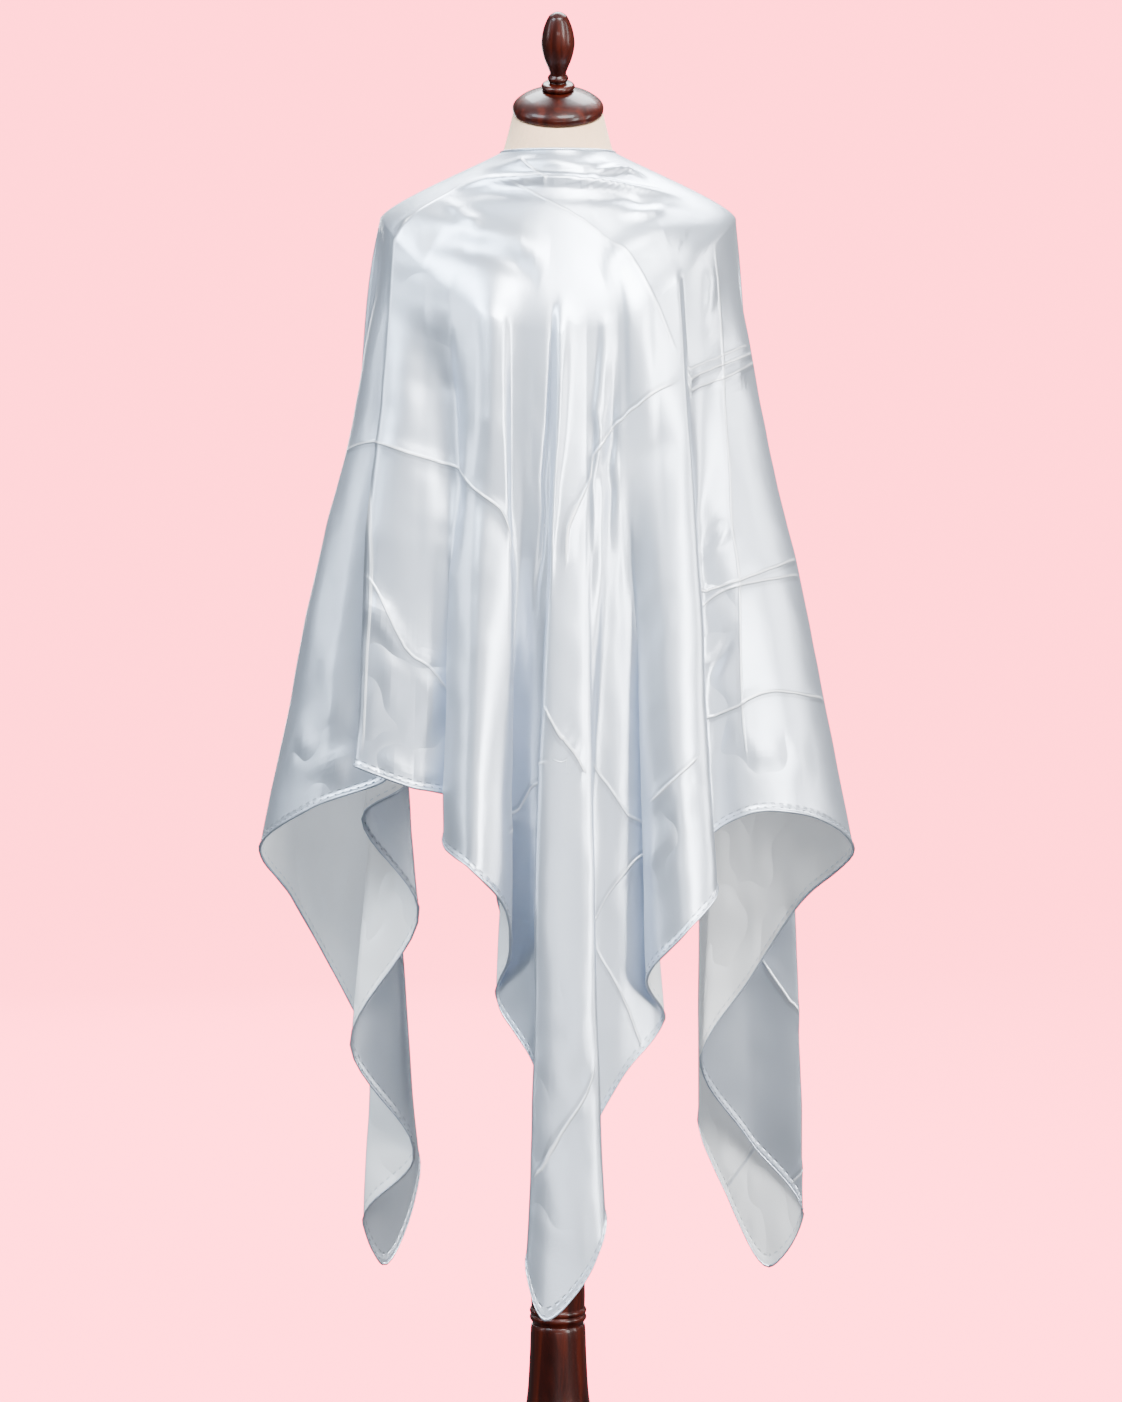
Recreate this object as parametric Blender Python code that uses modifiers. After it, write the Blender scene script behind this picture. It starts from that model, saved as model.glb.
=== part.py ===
# A square silk scarf worn as a poncho over a limbless dress form on a turned stand.
#
# The cloth is one square of satin, 2 m on a side, with a corner at the front, at each
# side and at the back. Its ribs run down from the neckline: over the yoke to the
# shoulder line, then almost straight to the hem. A row of the rib table gives where one
# rib leaves the shoulder line and where it meets the hem, and the surface is a smooth
# loft through the ribs. Units are metres, +Z up, the front faces -Y, and the origin is
# on the floor under the post.

import math
from collections import namedtuple

import bmesh
import bpy
import numpy as np

CM = 0.01

# Cloth
WALL = 0.0015
HEM_WALL = 0.0026
SEAM_GAP = 0.0009
STEPS_PER_RIB = 2
YOKE_STEPS = 6
SKIRT_STEPS = 8
HEM_ROLL = 0.007
SWING_PEAK = 9.5
EVENING = (0.1, 0.2, 0.4, 0.2, 0.1)
YOKE_LENGTH = 0.2
SKIRT_LENGTH = 0.8
STEP_ALONG = 0.002
STEP_DOWN = 0.01
SHARP_EDGE = math.radians(50)

# Neckline and shoulder line
NECK_HALF_WIDTH = 0.066
NECK_FRONT = 0.074
NECK_BACK = 0.070
NECK_HEIGHT = 1.604
NECK_DIP = 0.004
SHOULDER_HALF_WIDTH = 0.2075
BUST_REACH = 0.148
BACK_REACH = 0.120
BUST_HEIGHT = 1.385
SHOULDER_HEIGHT = 1.526
SHOULDER_TURN = 0.05
BUST_TURN = 0.20
NECK_LEAVE = 0.9
NECK_LEAVE_SIDE = 0.75

# Dress form
SHOULDER_CLEAR = 0.0008
CHEST_CLEAR = 0.008
NECK_CLEAR = 0.0012
NECK_CLEAR_SHARE = 0.33
NECK_DRAW = (0.97, 0.97, 1.0)
YOKE_RINGS = (0.0, 0.14, 0.28, 0.42, 0.56, 0.70, 0.84, 1.0)
NECK_LEAN = math.radians(26)
NECK_PLATE_HEIGHT = 1.648
NECK_PLATE_FORWARD = 0.012
NECK_RADIUS = 0.0525
PLAY = 0.0003
TORSO_POINTS = 48
TURNED_POINTS = 24

WHITE_SATIN = ("white_satin", (0.80, 0.82, 0.85), 0.30, 0.0)
CREAM_LINEN = ("cream_linen", (0.82, 0.77, 0.68), 0.90, 0.0)
MAHOGANY = ("mahogany", (0.075, 0.016, 0.010), 0.28, 0.0)

Rib = namedtuple("Rib", "name turn x y z bow late swing", defaults=(1.0, 0.0))

# turn: degrees round the shoulder line from the front, by the viewer's left.
# x, y, z: where the rib meets the hem, in centimetres.
# bow: how far the rib bows sideways at mid length, in centimetres.
# late: 1 where the fold opens evenly on its way down, more where it opens near the hem.
# swing: how far the rib stands sideways just under the shoulder, in centimetres.
RIBS = [
    Rib("front_edge_left", 0, -3.4, -25.5, 34.6, 0.0),
    Rib("front_return_left", 3, 0.2, -20.5, 45.0, 0.0),
    Rib("hollow_left", 7, -3.0, -17.5, 57.0, 0.0),
    Rib("hollow_turn_left", 10, -7.0, -14.5, 63.6, 0.0),
    Rib("fold_return_left", 13, -5.4, -17.5, 68.6, 0.0),
    Rib("fold_edge_left", 17, -6.0, -20.5, 74.5, 0.4),
    Rib("fold_front_left", 24, -9.7, -22.8, 79.0, 0.0),
    Rib("fold_side_left", 33, -12.9, -18.5, 81.5, 0.0),
    Rib("flap_root", 38, -11.5, -14.5, 86.0, 0.0),
    Rib("flap", 48, -17.0, -16.0, 87.7, 0.0),
    Rib("flap_edge", 60, -23.0, -15.0, 89.9, 0.0),
    Rib("flap_return", 65, -19.5, -12.0, 88.5, 0.0),
    Rib("side_front_left", 69, -28.2, -9.0, 84.7, 0.0),
    Rib("side_edge_left", 75, -34.9, -2.0, 79.4, 0.0),
    Rib("side_back_left", 79, -32.0, 6.0, 72.6, 0.0),
    Rib("side_inner_left", 83, -25.6, 13.5, 58.8, 0.0, 1.0, -1.2),
    Rib("tail_back_left", 86, -20.0, 17.5, 46.5, 0.0, 2.6, -1.8),
    Rib("tail_turn_left", 88.5, -17.2, 15.5, 38.5, 0.0, 2.6, -1.3),
    Rib("tail_tip_left", 91, -21.5, 10.5, 27.0, 0.0, 2.6, -0.7),
    Rib("cascade_1", 94, -23.6, 8.0, 33.0, 0.0, 2.6, 0.0),
    Rib("cascade_2", 98, -17.3, 4.5, 41.0, 0.2, 2.6, 0.7),
    Rib("cascade_3", 102, -24.5, 0.0, 55.6, 0.0, 2.6, 1.5),
    Rib("cascade_4", 106, -16.4, -3.5, 72.4, 0.2, 2.6, 2.2),
    Rib("cascade_5", 110, -22.3, -7.0, 84.0, 0.0, 2.6, 2.8),
    Rib("inner_front_left", 114, -18.3, -8.6, 86.5, 0.0, 1.0, 3.0),
    Rib("inner_side_left", 120, -16.1, -1.5, 89.0, 0.0, 1.0, 2.0),
    Rib("inner_back_left", 128, -13.5, 10.0, 90.0, 0.0, 1.0, 0.8),
    Rib("back_side_left", 137, -17.5, 18.5, 88.5, 0.0),
    Rib("back_fold_left", 146, -13.5, 22.0, 85.0, 0.0),
    Rib("back_hollow_left", 154, -8.5, 17.5, 80.0, 0.0),
    Rib("back_turn_left", 161, -7.5, 22.5, 70.0, 0.0),
    Rib("back_edge_left", 168, -3.5, 26.0, 56.0, 0.0),
    Rib("back_return_left", 174, -2.0, 20.5, 45.0, 0.0),
    Rib("back_tip", 180, 1.0, 24.0, 30.0, 0.0),
    Rib("back_return_right", 186, 3.0, 20.5, 44.0, 0.0),
    Rib("back_edge_right", 192, 4.0, 26.0, 56.0, 0.0),
    Rib("back_turn_right", 199, 7.5, 22.5, 70.0, 0.0),
    Rib("back_hollow_right", 206, 8.5, 17.5, 79.5, 0.0),
    Rib("back_fold_right", 214, 12.5, 22.5, 84.5, 0.0),
    Rib("back_side_right", 226, 16.5, 18.0, 88.5, 0.0),
    Rib("inner_back_right", 237, 18.5, 22.0, 86.5, 0.0),
    Rib("inner_side_right", 244, 23.5, 25.5, 78.0, 0.0),
    Rib("tail_outer_right", 250, 28.5, 24.5, 67.0, 0.0),
    Rib("tail_far_right", 255, 24.5, 21.5, 56.0, 0.0),
    Rib("tail_left_right", 259, 17.4, 18.0, 43.3, -1.2),
    Rib("tail_front_right", 262, 20.4, 17.5, 35.3, 0.0),
    Rib("tail_tip_right", 265, 26.2, 17.0, 25.2, 0.0),
    Rib("tail_edge_right", 268, 30.1, 14.0, 32.4, 1.8),
    Rib("tail_mid_right", 271, 23.5, 14.0, 41.6, 0.0),
    Rib("tail_turn_right", 274, 17.4, 9.5, 52.5, 0.0),
    Rib("side_inner_right", 277.5, 23.1, 8.0, 62.3, 0.0),
    Rib("side_back_right", 281, 29.0, 4.5, 72.1, 0.0),
    Rib("side_edge_right", 286, 34.6, -3.0, 79.2, 0.0),
    Rib("side_front_right", 296, 27.7, -10.5, 84.1, 0.0),
    Rib("side_fold_right", 306, 22.1, -12.0, 84.3, 0.0),
    Rib("side_return_right", 314, 17.2, -12.0, 81.5, 0.0),
    Rib("fold_side_right", 317, 16.6, -15.0, 79.5, 0.0),
    Rib("fold_edge_right", 320, 17.9, -19.0, 76.0, 0.0),
    Rib("fold_front_right", 329, 14.2, -21.8, 71.7, 0.0),
    Rib("fold_return_right", 337, 10.0, -18.8, 65.9, 0.0),
    Rib("hollow_turn_right", 339.5, 12.0, -15.5, 61.1, 0.0),
    Rib("hollow_right", 342, 7.4, -17.0, 54.9, 0.0),
    Rib("front_return_right", 344.5, 2.9, -19.5, 44.5, -0.6),
    Rib("front_edge_right", 347, 5.2, -24.0, 40.2, -1.0),
    Rib("front_side_right", 351, 3.0, -26.3, 33.5, 0.0),
    Rib("front_tip", 355, -1.5, -27.0, 29.4, 0.0),
]

Section = namedtuple("Section", "height side_height half_width front back")

# The torso below the shoulder line, in centimetres: each section's height at the front
# and at the sides, its half width, and its reach to the front and to the back.
SECTIONS = [
    Section(135.0, 147.0, 17.8, 14.0, 10.8),
    Section(131.0, 139.0, 15.5, 13.2, 10.0),
    Section(124.0, 127.0, 13.7, 10.8, 9.2),
    Section(115.0, 115.0, 12.0, 9.0, 8.8),
    Section(106.0, 106.0, 13.6, 10.4, 10.8),
    Section(98.5, 98.5, 14.8, 11.2, 11.8),
    Section(93.5, 93.5, 14.6, 11.0, 11.6),
    Section(92.0, 92.0, 13.4, 9.8, 10.4),
]

Ring = namedtuple("Ring", "radius height")

# Turned profiles, top to bottom, in centimetres. The finial and the cap are measured up
# from the neck plate, the post and the base from the floor.
FINIAL = [
    Ring(0.0, 12.06), Ring(0.60, 11.95), Ring(1.15, 11.40), Ring(1.65, 10.20),
    Ring(1.92, 8.80), Ring(1.88, 7.80), Ring(1.60, 6.60), Ring(1.20, 5.60),
    Ring(0.98, 5.00), Ring(0.95, 4.70), Ring(1.18, 4.40), Ring(1.18, 4.10),
    Ring(0.95, 3.85), Ring(1.05, 3.75), Ring(1.65, 3.65), Ring(1.94, 3.35),
    Ring(1.85, 3.00), Ring(1.50, 2.86), Ring(0.0, 2.86),
]
CAP = [
    Ring(0.0, 2.82), Ring(1.90, 2.82), Ring(2.80, 2.55), Ring(4.00, 2.05),
    Ring(4.90, 1.42), Ring(5.25, 0.95), Ring(5.30, 0.55), Ring(5.20, 0.15),
    Ring(4.95, 0.0), Ring(0.0, 0.0),
]
POST = [
    Ring(0.0, 91.97), Ring(2.20, 91.97), Ring(2.20, 60.0), Ring(2.60, 40.0),
    Ring(3.05, 30.0), Ring(3.20, 26.2), Ring(3.18, 24.3), Ring(3.38, 23.9),
    Ring(3.18, 23.5), Ring(3.38, 23.1), Ring(3.18, 22.7), Ring(3.02, 22.3),
    Ring(3.25, 21.8), Ring(3.40, 18.0), Ring(3.75, 13.1), Ring(4.60, 10.0),
    Ring(6.00, 8.2), Ring(6.20, 7.8), Ring(0.0, 7.8),
]
BASE = [
    Ring(0.0, 7.77), Ring(7.20, 7.77), Ring(10.5, 6.90), Ring(14.5, 5.40),
    Ring(17.4, 3.80), Ring(18.4, 2.60), Ring(18.5, 1.20), Ring(18.1, 0.40),
    Ring(17.6, 0.0), Ring(0.0, 0.0),
]

Stretch = namedtuple("Stretch", "node first last")

# Each stretch of cloth runs from one rib to another, below the shoulder line.
STRETCHES = [
    Stretch("scarf_front_corner", "front_return_right", "front_return_left"),
    Stretch("scarf_front_hollow_left", "front_return_left", "fold_return_left"),
    Stretch("scarf_front_fold_left", "fold_return_left", "flap_root"),
    Stretch("scarf_flap_left", "flap_root", "flap_return"),
    Stretch("scarf_side_left", "flap_return", "side_back_left"),
    Stretch("scarf_side_inner_left", "side_back_left", "tail_turn_left"),
    Stretch("scarf_tail_left", "tail_turn_left", "cascade_3"),
    Stretch("scarf_cascade_left", "cascade_3", "inner_front_left"),
    Stretch("scarf_back_side_left", "inner_front_left", "back_side_left"),
    Stretch("scarf_back_fold_left", "back_side_left", "back_turn_left"),
    Stretch("scarf_back_corner_left", "back_turn_left", "back_return_left"),
    Stretch("scarf_back_corner_right", "back_return_left", "back_turn_right"),
    Stretch("scarf_back_fold_right", "back_turn_right", "back_side_right"),
    Stretch("scarf_back_side_right", "back_side_right", "tail_outer_right"),
    Stretch("scarf_tail_back_right", "tail_outer_right", "tail_left_right"),
    Stretch("scarf_tail_right", "tail_left_right", "tail_edge_right"),
    Stretch("scarf_tail_front_right", "tail_edge_right", "tail_turn_right"),
    Stretch("scarf_side_inner_right", "tail_turn_right", "side_edge_right"),
    Stretch("scarf_side_right", "side_edge_right", "fold_side_right"),
    Stretch("scarf_front_fold_right", "fold_side_right", "hollow_turn_right"),
    Stretch("scarf_front_hollow_right", "hollow_turn_right", "front_return_right"),
]

YOKE_STRETCHES = [
    Stretch("scarf_yoke_front", "side_back_right", "side_back_left"),
    Stretch("scarf_yoke_back", "side_back_left", "side_back_right"),
]


def clear_scene():
    for item in list(bpy.data.objects):
        bpy.data.objects.remove(item, do_unlink=True)


def make_material(name, color, roughness, metallic):
    material = bpy.data.materials.new(name)
    material.use_nodes = True
    shader = material.node_tree.nodes["Principled BSDF"]
    shader.inputs["Base Color"].default_value = (*color, 1.0)
    shader.inputs["Roughness"].default_value = roughness
    shader.inputs["Metallic"].default_value = metallic
    return material


def unit(vector):
    return vector / np.linalg.norm(vector)


def blend_by_turn(turn, front, side, back):
    """A size that is `front` at the front, `side` at both sides and `back` at the back."""
    share = math.sin(math.radians(turn)) ** 2
    end = front if math.cos(math.radians(turn)) > 0 else back
    return end + (side - end) * share


def neck_point(turn):
    angle = math.radians(turn)
    reach = NECK_FRONT if math.cos(angle) > 0 else NECK_BACK
    return np.array([
        -NECK_HALF_WIDTH * math.sin(angle),
        -reach * math.cos(angle),
        NECK_HEIGHT - NECK_DIP * math.cos(angle),
    ])


def shoulder_point(turn):
    angle = math.radians(turn)
    reach = BUST_REACH if math.cos(angle) > 0 else BACK_REACH
    return np.array([
        -SHOULDER_HALF_WIDTH * math.sin(angle),
        -reach * math.cos(angle),
        blend_by_turn(turn, BUST_HEIGHT, SHOULDER_HEIGHT, BUST_HEIGHT),
    ])


def yoke_point(turn, share, hem):
    """Down the yoke, from the neckline at 0 to the shoulder line at 1."""
    neck = neck_point(turn)
    shoulder = shoulder_point(turn)
    fall = unit(hem - shoulder)
    leave = (shoulder - neck) * blend_by_turn(turn, NECK_LEAVE, NECK_LEAVE_SIDE, NECK_LEAVE)
    arrive = fall * blend_by_turn(turn, BUST_TURN, SHOULDER_TURN, BUST_TURN)
    a, b = share * share, share * share * share
    return (
        (2 * b - 3 * a + 1) * neck
        + (b - 2 * a + share) * leave
        + (3 * a - 2 * b) * shoulder
        + (b - a) * arrive
    )


def smooth_loop(knots, values, spans, at):
    """A closed smooth curve through the values, at a place along the knots."""
    count = len(values)
    i = int(np.searchsorted(knots, at, side="right")) - 1
    i = min(max(i, 0), count - 1)
    before, here, after, later = (values[(i + k) % count] for k in (-1, 0, 1, 2))
    s0, s1, s2 = (spans[(i + k) % count] for k in (-1, 0, 1))
    t = (at - knots[i]) / s1
    slope_here = ((here - before) / s0 * s1 + (after - here) / s1 * s0) / (s0 + s1)
    slope_after = ((after - here) / s1 * s2 + (later - after) / s2 * s1) / (s1 + s2)
    a, b = t * t, t * t * t
    return (
        (2 * b - 3 * a + 1) * here
        + (b - 2 * a + t) * slope_here * s1
        + (3 * a - 2 * b) * after
        + (b - a) * slope_after * s1
    )


class Cloth:
    """The scarf's middle surface. `around` runs along the hem, `down` from 0 to 2."""

    def __init__(self, ribs):
        self.names = [rib.name for rib in ribs]
        turns = [rib.turn for rib in ribs]
        hems = np.array([[rib.x, rib.y, rib.z] for rib in ribs]) * CM
        nexts = np.roll(hems, -1, axis=0)
        self.spans = np.linalg.norm(nexts - hems, axis=1)
        self.knots = np.concatenate([[0.0], np.cumsum(self.spans)])
        self.length = self.knots[-1]
        smooth = sum(
            weight * np.roll(hems, shift, axis=0)
            for shift, weight in zip((-2, -1, 0, 1, 2), EVENING)
        )
        rows = [
            [*hem, *even[:2], rib.bow * CM, rib.late, rib.swing * CM]
            for hem, even, rib in zip(hems, smooth, ribs)
        ]
        self.rows = np.array(rows)
        self.turns = np.array(turns, float)

    def place_of(self, name):
        return self.knots[self.names.index(name)]

    def turn_at(self, at):
        return float(np.interp(at, self.knots, np.append(self.turns, 360.0)))

    def point(self, at, down):
        at = at % self.length
        row = smooth_loop(self.knots, self.rows, self.spans, at)
        hem, even, bow, late, swing = row[:3], row[3:5], row[5], max(row[6], 1.0), row[7]
        turn = self.turn_at(at)
        if down <= 1:
            return yoke_point(turn, down, hem)
        share = down - 1
        top = shoulder_point(turn)
        place = top + (hem - top) * share
        place[:2] -= (hem[:2] - even) * (share - share ** late)
        place[0] += bow * 4 * share * (1 - share)
        place[0] += swing * SWING_PEAK * share * (1 - share) ** 3
        return place

    def normal(self, at, down, before, after):
        """Across the wall, pointing out, halfway between its two neighbouring faces."""
        low, high = max(down - STEP_DOWN, 0.0), min(down + STEP_DOWN, 2.0)
        fall = self.point(at, high) - self.point(at, low)
        here = self.point(at, down)
        runs = (here - self.point(before, down), self.point(after, down) - here)
        across = sum(unit(np.cross(run, fall)) for run in runs)
        return unit(across)

    def places(self, first, last):
        """Places along the hem for a stretch, one more at each end. Its seams lie
        midway past the two ribs."""
        count = len(self.names) * STEPS_PER_RIB
        half = STEPS_PER_RIB // 2
        start = self.names.index(first) * STEPS_PER_RIB + half
        stop = self.names.index(last) * STEPS_PER_RIB + half
        steps = (stop - start) % count
        return [self.station((start + k) % count) for k in range(-1, steps + 2)]

    def station(self, k):
        rib, step = divmod(k, STEPS_PER_RIB)
        return self.knots[rib] + self.spans[rib] * step / STEPS_PER_RIB

    def place_at_turn(self, turn):
        """The place along the hem whose rib leaves the shoulder line at this turn."""
        return float(np.interp(turn % 360, np.append(self.turns, 360.0), self.knots))


def cell_halves(corners, a, columns):
    """The two triangles of a grid cell, cut along its shorter diagonal."""
    b, c, d = a + columns, a + columns + 1, a + 1
    if np.linalg.norm(corners[a] - corners[c]) < np.linalg.norm(corners[b] - corners[d]):
        return [(a, b, c), (a, c, d)]
    return [(a, b, d), (b, c, d)]


def wall_mesh(name, middle, across, thickness):
    """A closed wall on a grid of middle points, with the thickness given for each row."""
    rows, columns = len(middle), len(middle[0])
    corners = []
    for side in (0.5, -0.5):
        for i in range(rows):
            for j in range(columns):
                corners.append(middle[i][j] + across[i][j] * thickness[i] * side)
    inner = rows * columns
    faces = []
    for i in range(rows - 1):
        for j in range(columns - 1):
            for half in cell_halves(corners, i * columns + j, columns):
                faces.append(half)
                faces.append(tuple(inner + k for k in reversed(half)))
    top = list(range(columns))
    right = [i * columns + columns - 1 for i in range(rows)]
    bottom = [(rows - 1) * columns + j for j in reversed(range(columns))]
    left = [i * columns for i in reversed(range(rows))]
    rim = top[:-1] + right[:-1] + bottom[:-1] + left[:-1]
    for k, a in enumerate(rim):
        b = rim[(k + 1) % len(rim)]
        faces.append((a, b, inner + b, inner + a))
    mesh = bpy.data.meshes.new(name)
    mesh.from_pydata([tuple(corner) for corner in corners], [], faces)
    return finish_mesh(mesh)


def finish_mesh(mesh):
    """Turns every face out and shades the mesh smooth."""
    work = bmesh.new()
    work.from_mesh(mesh)
    bmesh.ops.recalc_face_normals(work, faces=work.faces)
    work.to_mesh(mesh)
    work.free()
    mesh.shade_smooth()
    mesh.set_sharp_from_angle(angle=SHARP_EDGE)
    return mesh


def add_object(name, mesh, material, collection):
    item = bpy.data.objects.new(name, mesh)
    mesh.materials.clear()
    mesh.materials.append(material)
    collection.objects.link(item)
    return item


def cloth_stretch(cloth, stretch, downs, material, collection):
    """One stretch of the scarf, from rib to rib, drawn in by the seam gap."""
    places = cloth.places(stretch.first, stretch.last)
    trios = list(zip(places, places[1:], places[2:]))
    middle, across, thickness = [], [], []
    for k, down in enumerate(downs):
        points = [cloth.point(at, down) for at in places[1:-1]]
        sides = [cloth.normal(at, down, before, after) for before, at, after in trios]
        for end, near in ((0, 1), (-1, -2)):
            inward = points[near] - points[end]
            points[end] = points[end] + unit(inward) * SEAM_GAP / 2
        middle.append(points)
        across.append(sides)
        thickness.append(HEM_WALL if down > 1 and k >= len(downs) - 2 else WALL)
    mesh = wall_mesh(stretch.node, middle, across, thickness)
    return add_object(stretch.node, mesh, material, collection)


def make_scarf(collection):
    material = make_material(*WHITE_SATIN)
    cloth = Cloth(RIBS)
    seam = SEAM_GAP / 2
    yoke = [k / YOKE_STEPS for k in range(YOKE_STEPS)] + [1 - seam / YOKE_LENGTH]
    skirt = [1 + seam / SKIRT_LENGTH]
    skirt += [1 + k / SKIRT_STEPS for k in range(1, SKIRT_STEPS)]
    skirt += [2 - HEM_ROLL / SKIRT_LENGTH, 2.0]
    for stretch in YOKE_STRETCHES:
        cloth_stretch(cloth, stretch, yoke, material, collection)
    for stretch in STRETCHES:
        cloth_stretch(cloth, stretch, skirt, material, collection)
    return cloth


def body_ring(section, turns):
    ring = []
    for turn in turns:
        angle = math.radians(turn)
        reach = section.front if math.cos(angle) > 0 else section.back
        height = blend_by_turn(turn, section.height, section.side_height, section.height)
        place = (-section.half_width * math.sin(angle), -reach * math.cos(angle), height)
        ring.append(np.array(place) * CM)
    return ring


def neck_rings(turns):
    """The plate, which leans forward, and a ring between it and the neckline."""
    plate, middle = [], []
    centre = np.array([0.0, -NECK_PLATE_FORWARD, NECK_PLATE_HEIGHT])
    for turn in turns:
        angle = math.radians(turn)
        side, reach = -math.sin(angle) * NECK_RADIUS, -math.cos(angle) * NECK_RADIUS
        lean = (side, reach * math.cos(NECK_LEAN), reach * math.sin(NECK_LEAN))
        plate.append(centre + np.array(lean))
        middle.append((plate[-1] + neck_point(turn) * NECK_DRAW) / 2)
    return [plate, middle]


def yoke_ring(cloth, share, turns):
    """A ring of the torso just under the cloth of the yoke."""
    ring = []
    for turn in turns:
        at = cloth.place_at_turn(turn)
        clear = blend_by_turn(turn, CHEST_CLEAR, SHOULDER_CLEAR, CHEST_CLEAR)
        clear = NECK_CLEAR + (clear - NECK_CLEAR) * min(share / NECK_CLEAR_SHARE, 1.0)
        depth = WALL / 2 + clear
        across = cloth.normal(at, share, at - STEP_ALONG, at + STEP_ALONG)
        ring.append(cloth.point(at, share) - across * depth)
    return ring


def make_torso(cloth, collection):
    turns = [360 * k / TORSO_POINTS for k in range(TORSO_POINTS)]
    rings = neck_rings(turns)
    rings += [yoke_ring(cloth, share, turns) for share in YOKE_RINGS]
    rings += [body_ring(section, turns) for section in SECTIONS]
    corners = [tuple(place) for ring in rings for place in ring]
    faces = [tuple(range(TORSO_POINTS))]
    for i in range(len(rings) - 1):
        for j in range(TORSO_POINTS):
            a, b = i * TORSO_POINTS + j, i * TORSO_POINTS + (j + 1) % TORSO_POINTS
            faces.append((a, a + TORSO_POINTS, b + TORSO_POINTS, b))
    last = (len(rings) - 1) * TORSO_POINTS
    faces.append(tuple(last + j for j in reversed(range(TORSO_POINTS))))
    mesh = bpy.data.meshes.new("form_torso")
    mesh.from_pydata(corners, [], faces)
    material = make_material(*CREAM_LINEN)
    return add_object("form_torso", finish_mesh(mesh), material, collection)


def make_turned(name, profile, material, collection):
    """A solid of revolution about its own Z, from a profile at +X."""
    corners = [(ring.radius * CM, 0.0, ring.height * CM) for ring in profile]
    mesh = bpy.data.meshes.new(name)
    mesh.from_pydata(corners, [(k, k + 1) for k in range(len(corners) - 1)], [])
    item = add_object(name, mesh, material, collection)
    screw = item.modifiers.new("turn", "SCREW")
    screw.steps = TURNED_POINTS
    screw.render_steps = TURNED_POINTS
    screw.use_merge_vertices = True
    screw.merge_threshold = 0.00005
    screw.use_smooth_shade = True
    return item


def make_stand(collection):
    material = make_material(*MAHOGANY)
    make_turned("form_post", POST, material, collection)
    make_turned("form_base", BASE, material, collection)
    for name, profile in (("form_neck_cap", CAP), ("form_finial", FINIAL)):
        item = make_turned(name, profile, material, collection)
        item.rotation_euler = (NECK_LEAN, 0.0, 0.0)
        up = (0.0, -math.sin(NECK_LEAN) * PLAY, math.cos(NECK_LEAN) * PLAY)
        item.location = (up[0], up[1] - NECK_PLATE_FORWARD, up[2] + NECK_PLATE_HEIGHT)


def main():
    clear_scene()
    collection = bpy.data.collections.new("silk_scarf_on_dress_form")
    bpy.context.scene.collection.children.link(collection)
    cloth = make_scarf(collection)
    make_torso(cloth, collection)
    make_stand(collection)


main()
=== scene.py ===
# White silk satin scarf, 2 m square, worn as a poncho over a linen dress form on a turned stand.
# Metres, +Z up, the front faces -Y. Left and right are the viewer's, seen from the front.
import math
from collections import namedtuple

import bpy
import numpy as np
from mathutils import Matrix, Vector, noise


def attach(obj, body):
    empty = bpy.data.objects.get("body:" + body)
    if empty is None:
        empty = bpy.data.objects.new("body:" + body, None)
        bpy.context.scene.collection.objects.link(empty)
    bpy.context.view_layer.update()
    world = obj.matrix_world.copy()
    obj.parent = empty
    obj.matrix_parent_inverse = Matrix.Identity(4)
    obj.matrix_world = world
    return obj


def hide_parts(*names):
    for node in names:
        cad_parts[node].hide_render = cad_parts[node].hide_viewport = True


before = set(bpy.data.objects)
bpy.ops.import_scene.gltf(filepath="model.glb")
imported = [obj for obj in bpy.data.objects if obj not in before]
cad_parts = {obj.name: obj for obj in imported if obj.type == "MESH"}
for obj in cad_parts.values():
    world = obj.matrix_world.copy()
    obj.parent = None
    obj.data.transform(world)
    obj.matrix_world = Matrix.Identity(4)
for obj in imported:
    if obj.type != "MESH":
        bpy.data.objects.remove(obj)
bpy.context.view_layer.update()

cm = 0.01


class Wire:
    # one output socket; arithmetic on it adds Math nodes
    def __init__(self, graph, socket):
        self.graph, self.socket = graph, socket

    def maths(self, operation, *values):
        return self.graph.maths(operation, *values)

    def __add__(self, other): return self.maths("ADD", self, other)
    def __radd__(self, other): return self.maths("ADD", other, self)
    def __sub__(self, other): return self.maths("SUBTRACT", self, other)
    def __rsub__(self, other): return self.maths("SUBTRACT", other, self)
    def __mul__(self, other): return self.maths("MULTIPLY", self, other)
    def __rmul__(self, other): return self.maths("MULTIPLY", other, self)
    def __truediv__(self, other): return self.maths("DIVIDE", self, other)
    def __rtruediv__(self, other): return self.maths("DIVIDE", other, self)
    def __abs__(self): return self.maths("ABSOLUTE", self)

    def hump(self):
        # 1 at 0, falling away past 1
        square = self * self
        return 1 / (1 + square * square)


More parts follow.
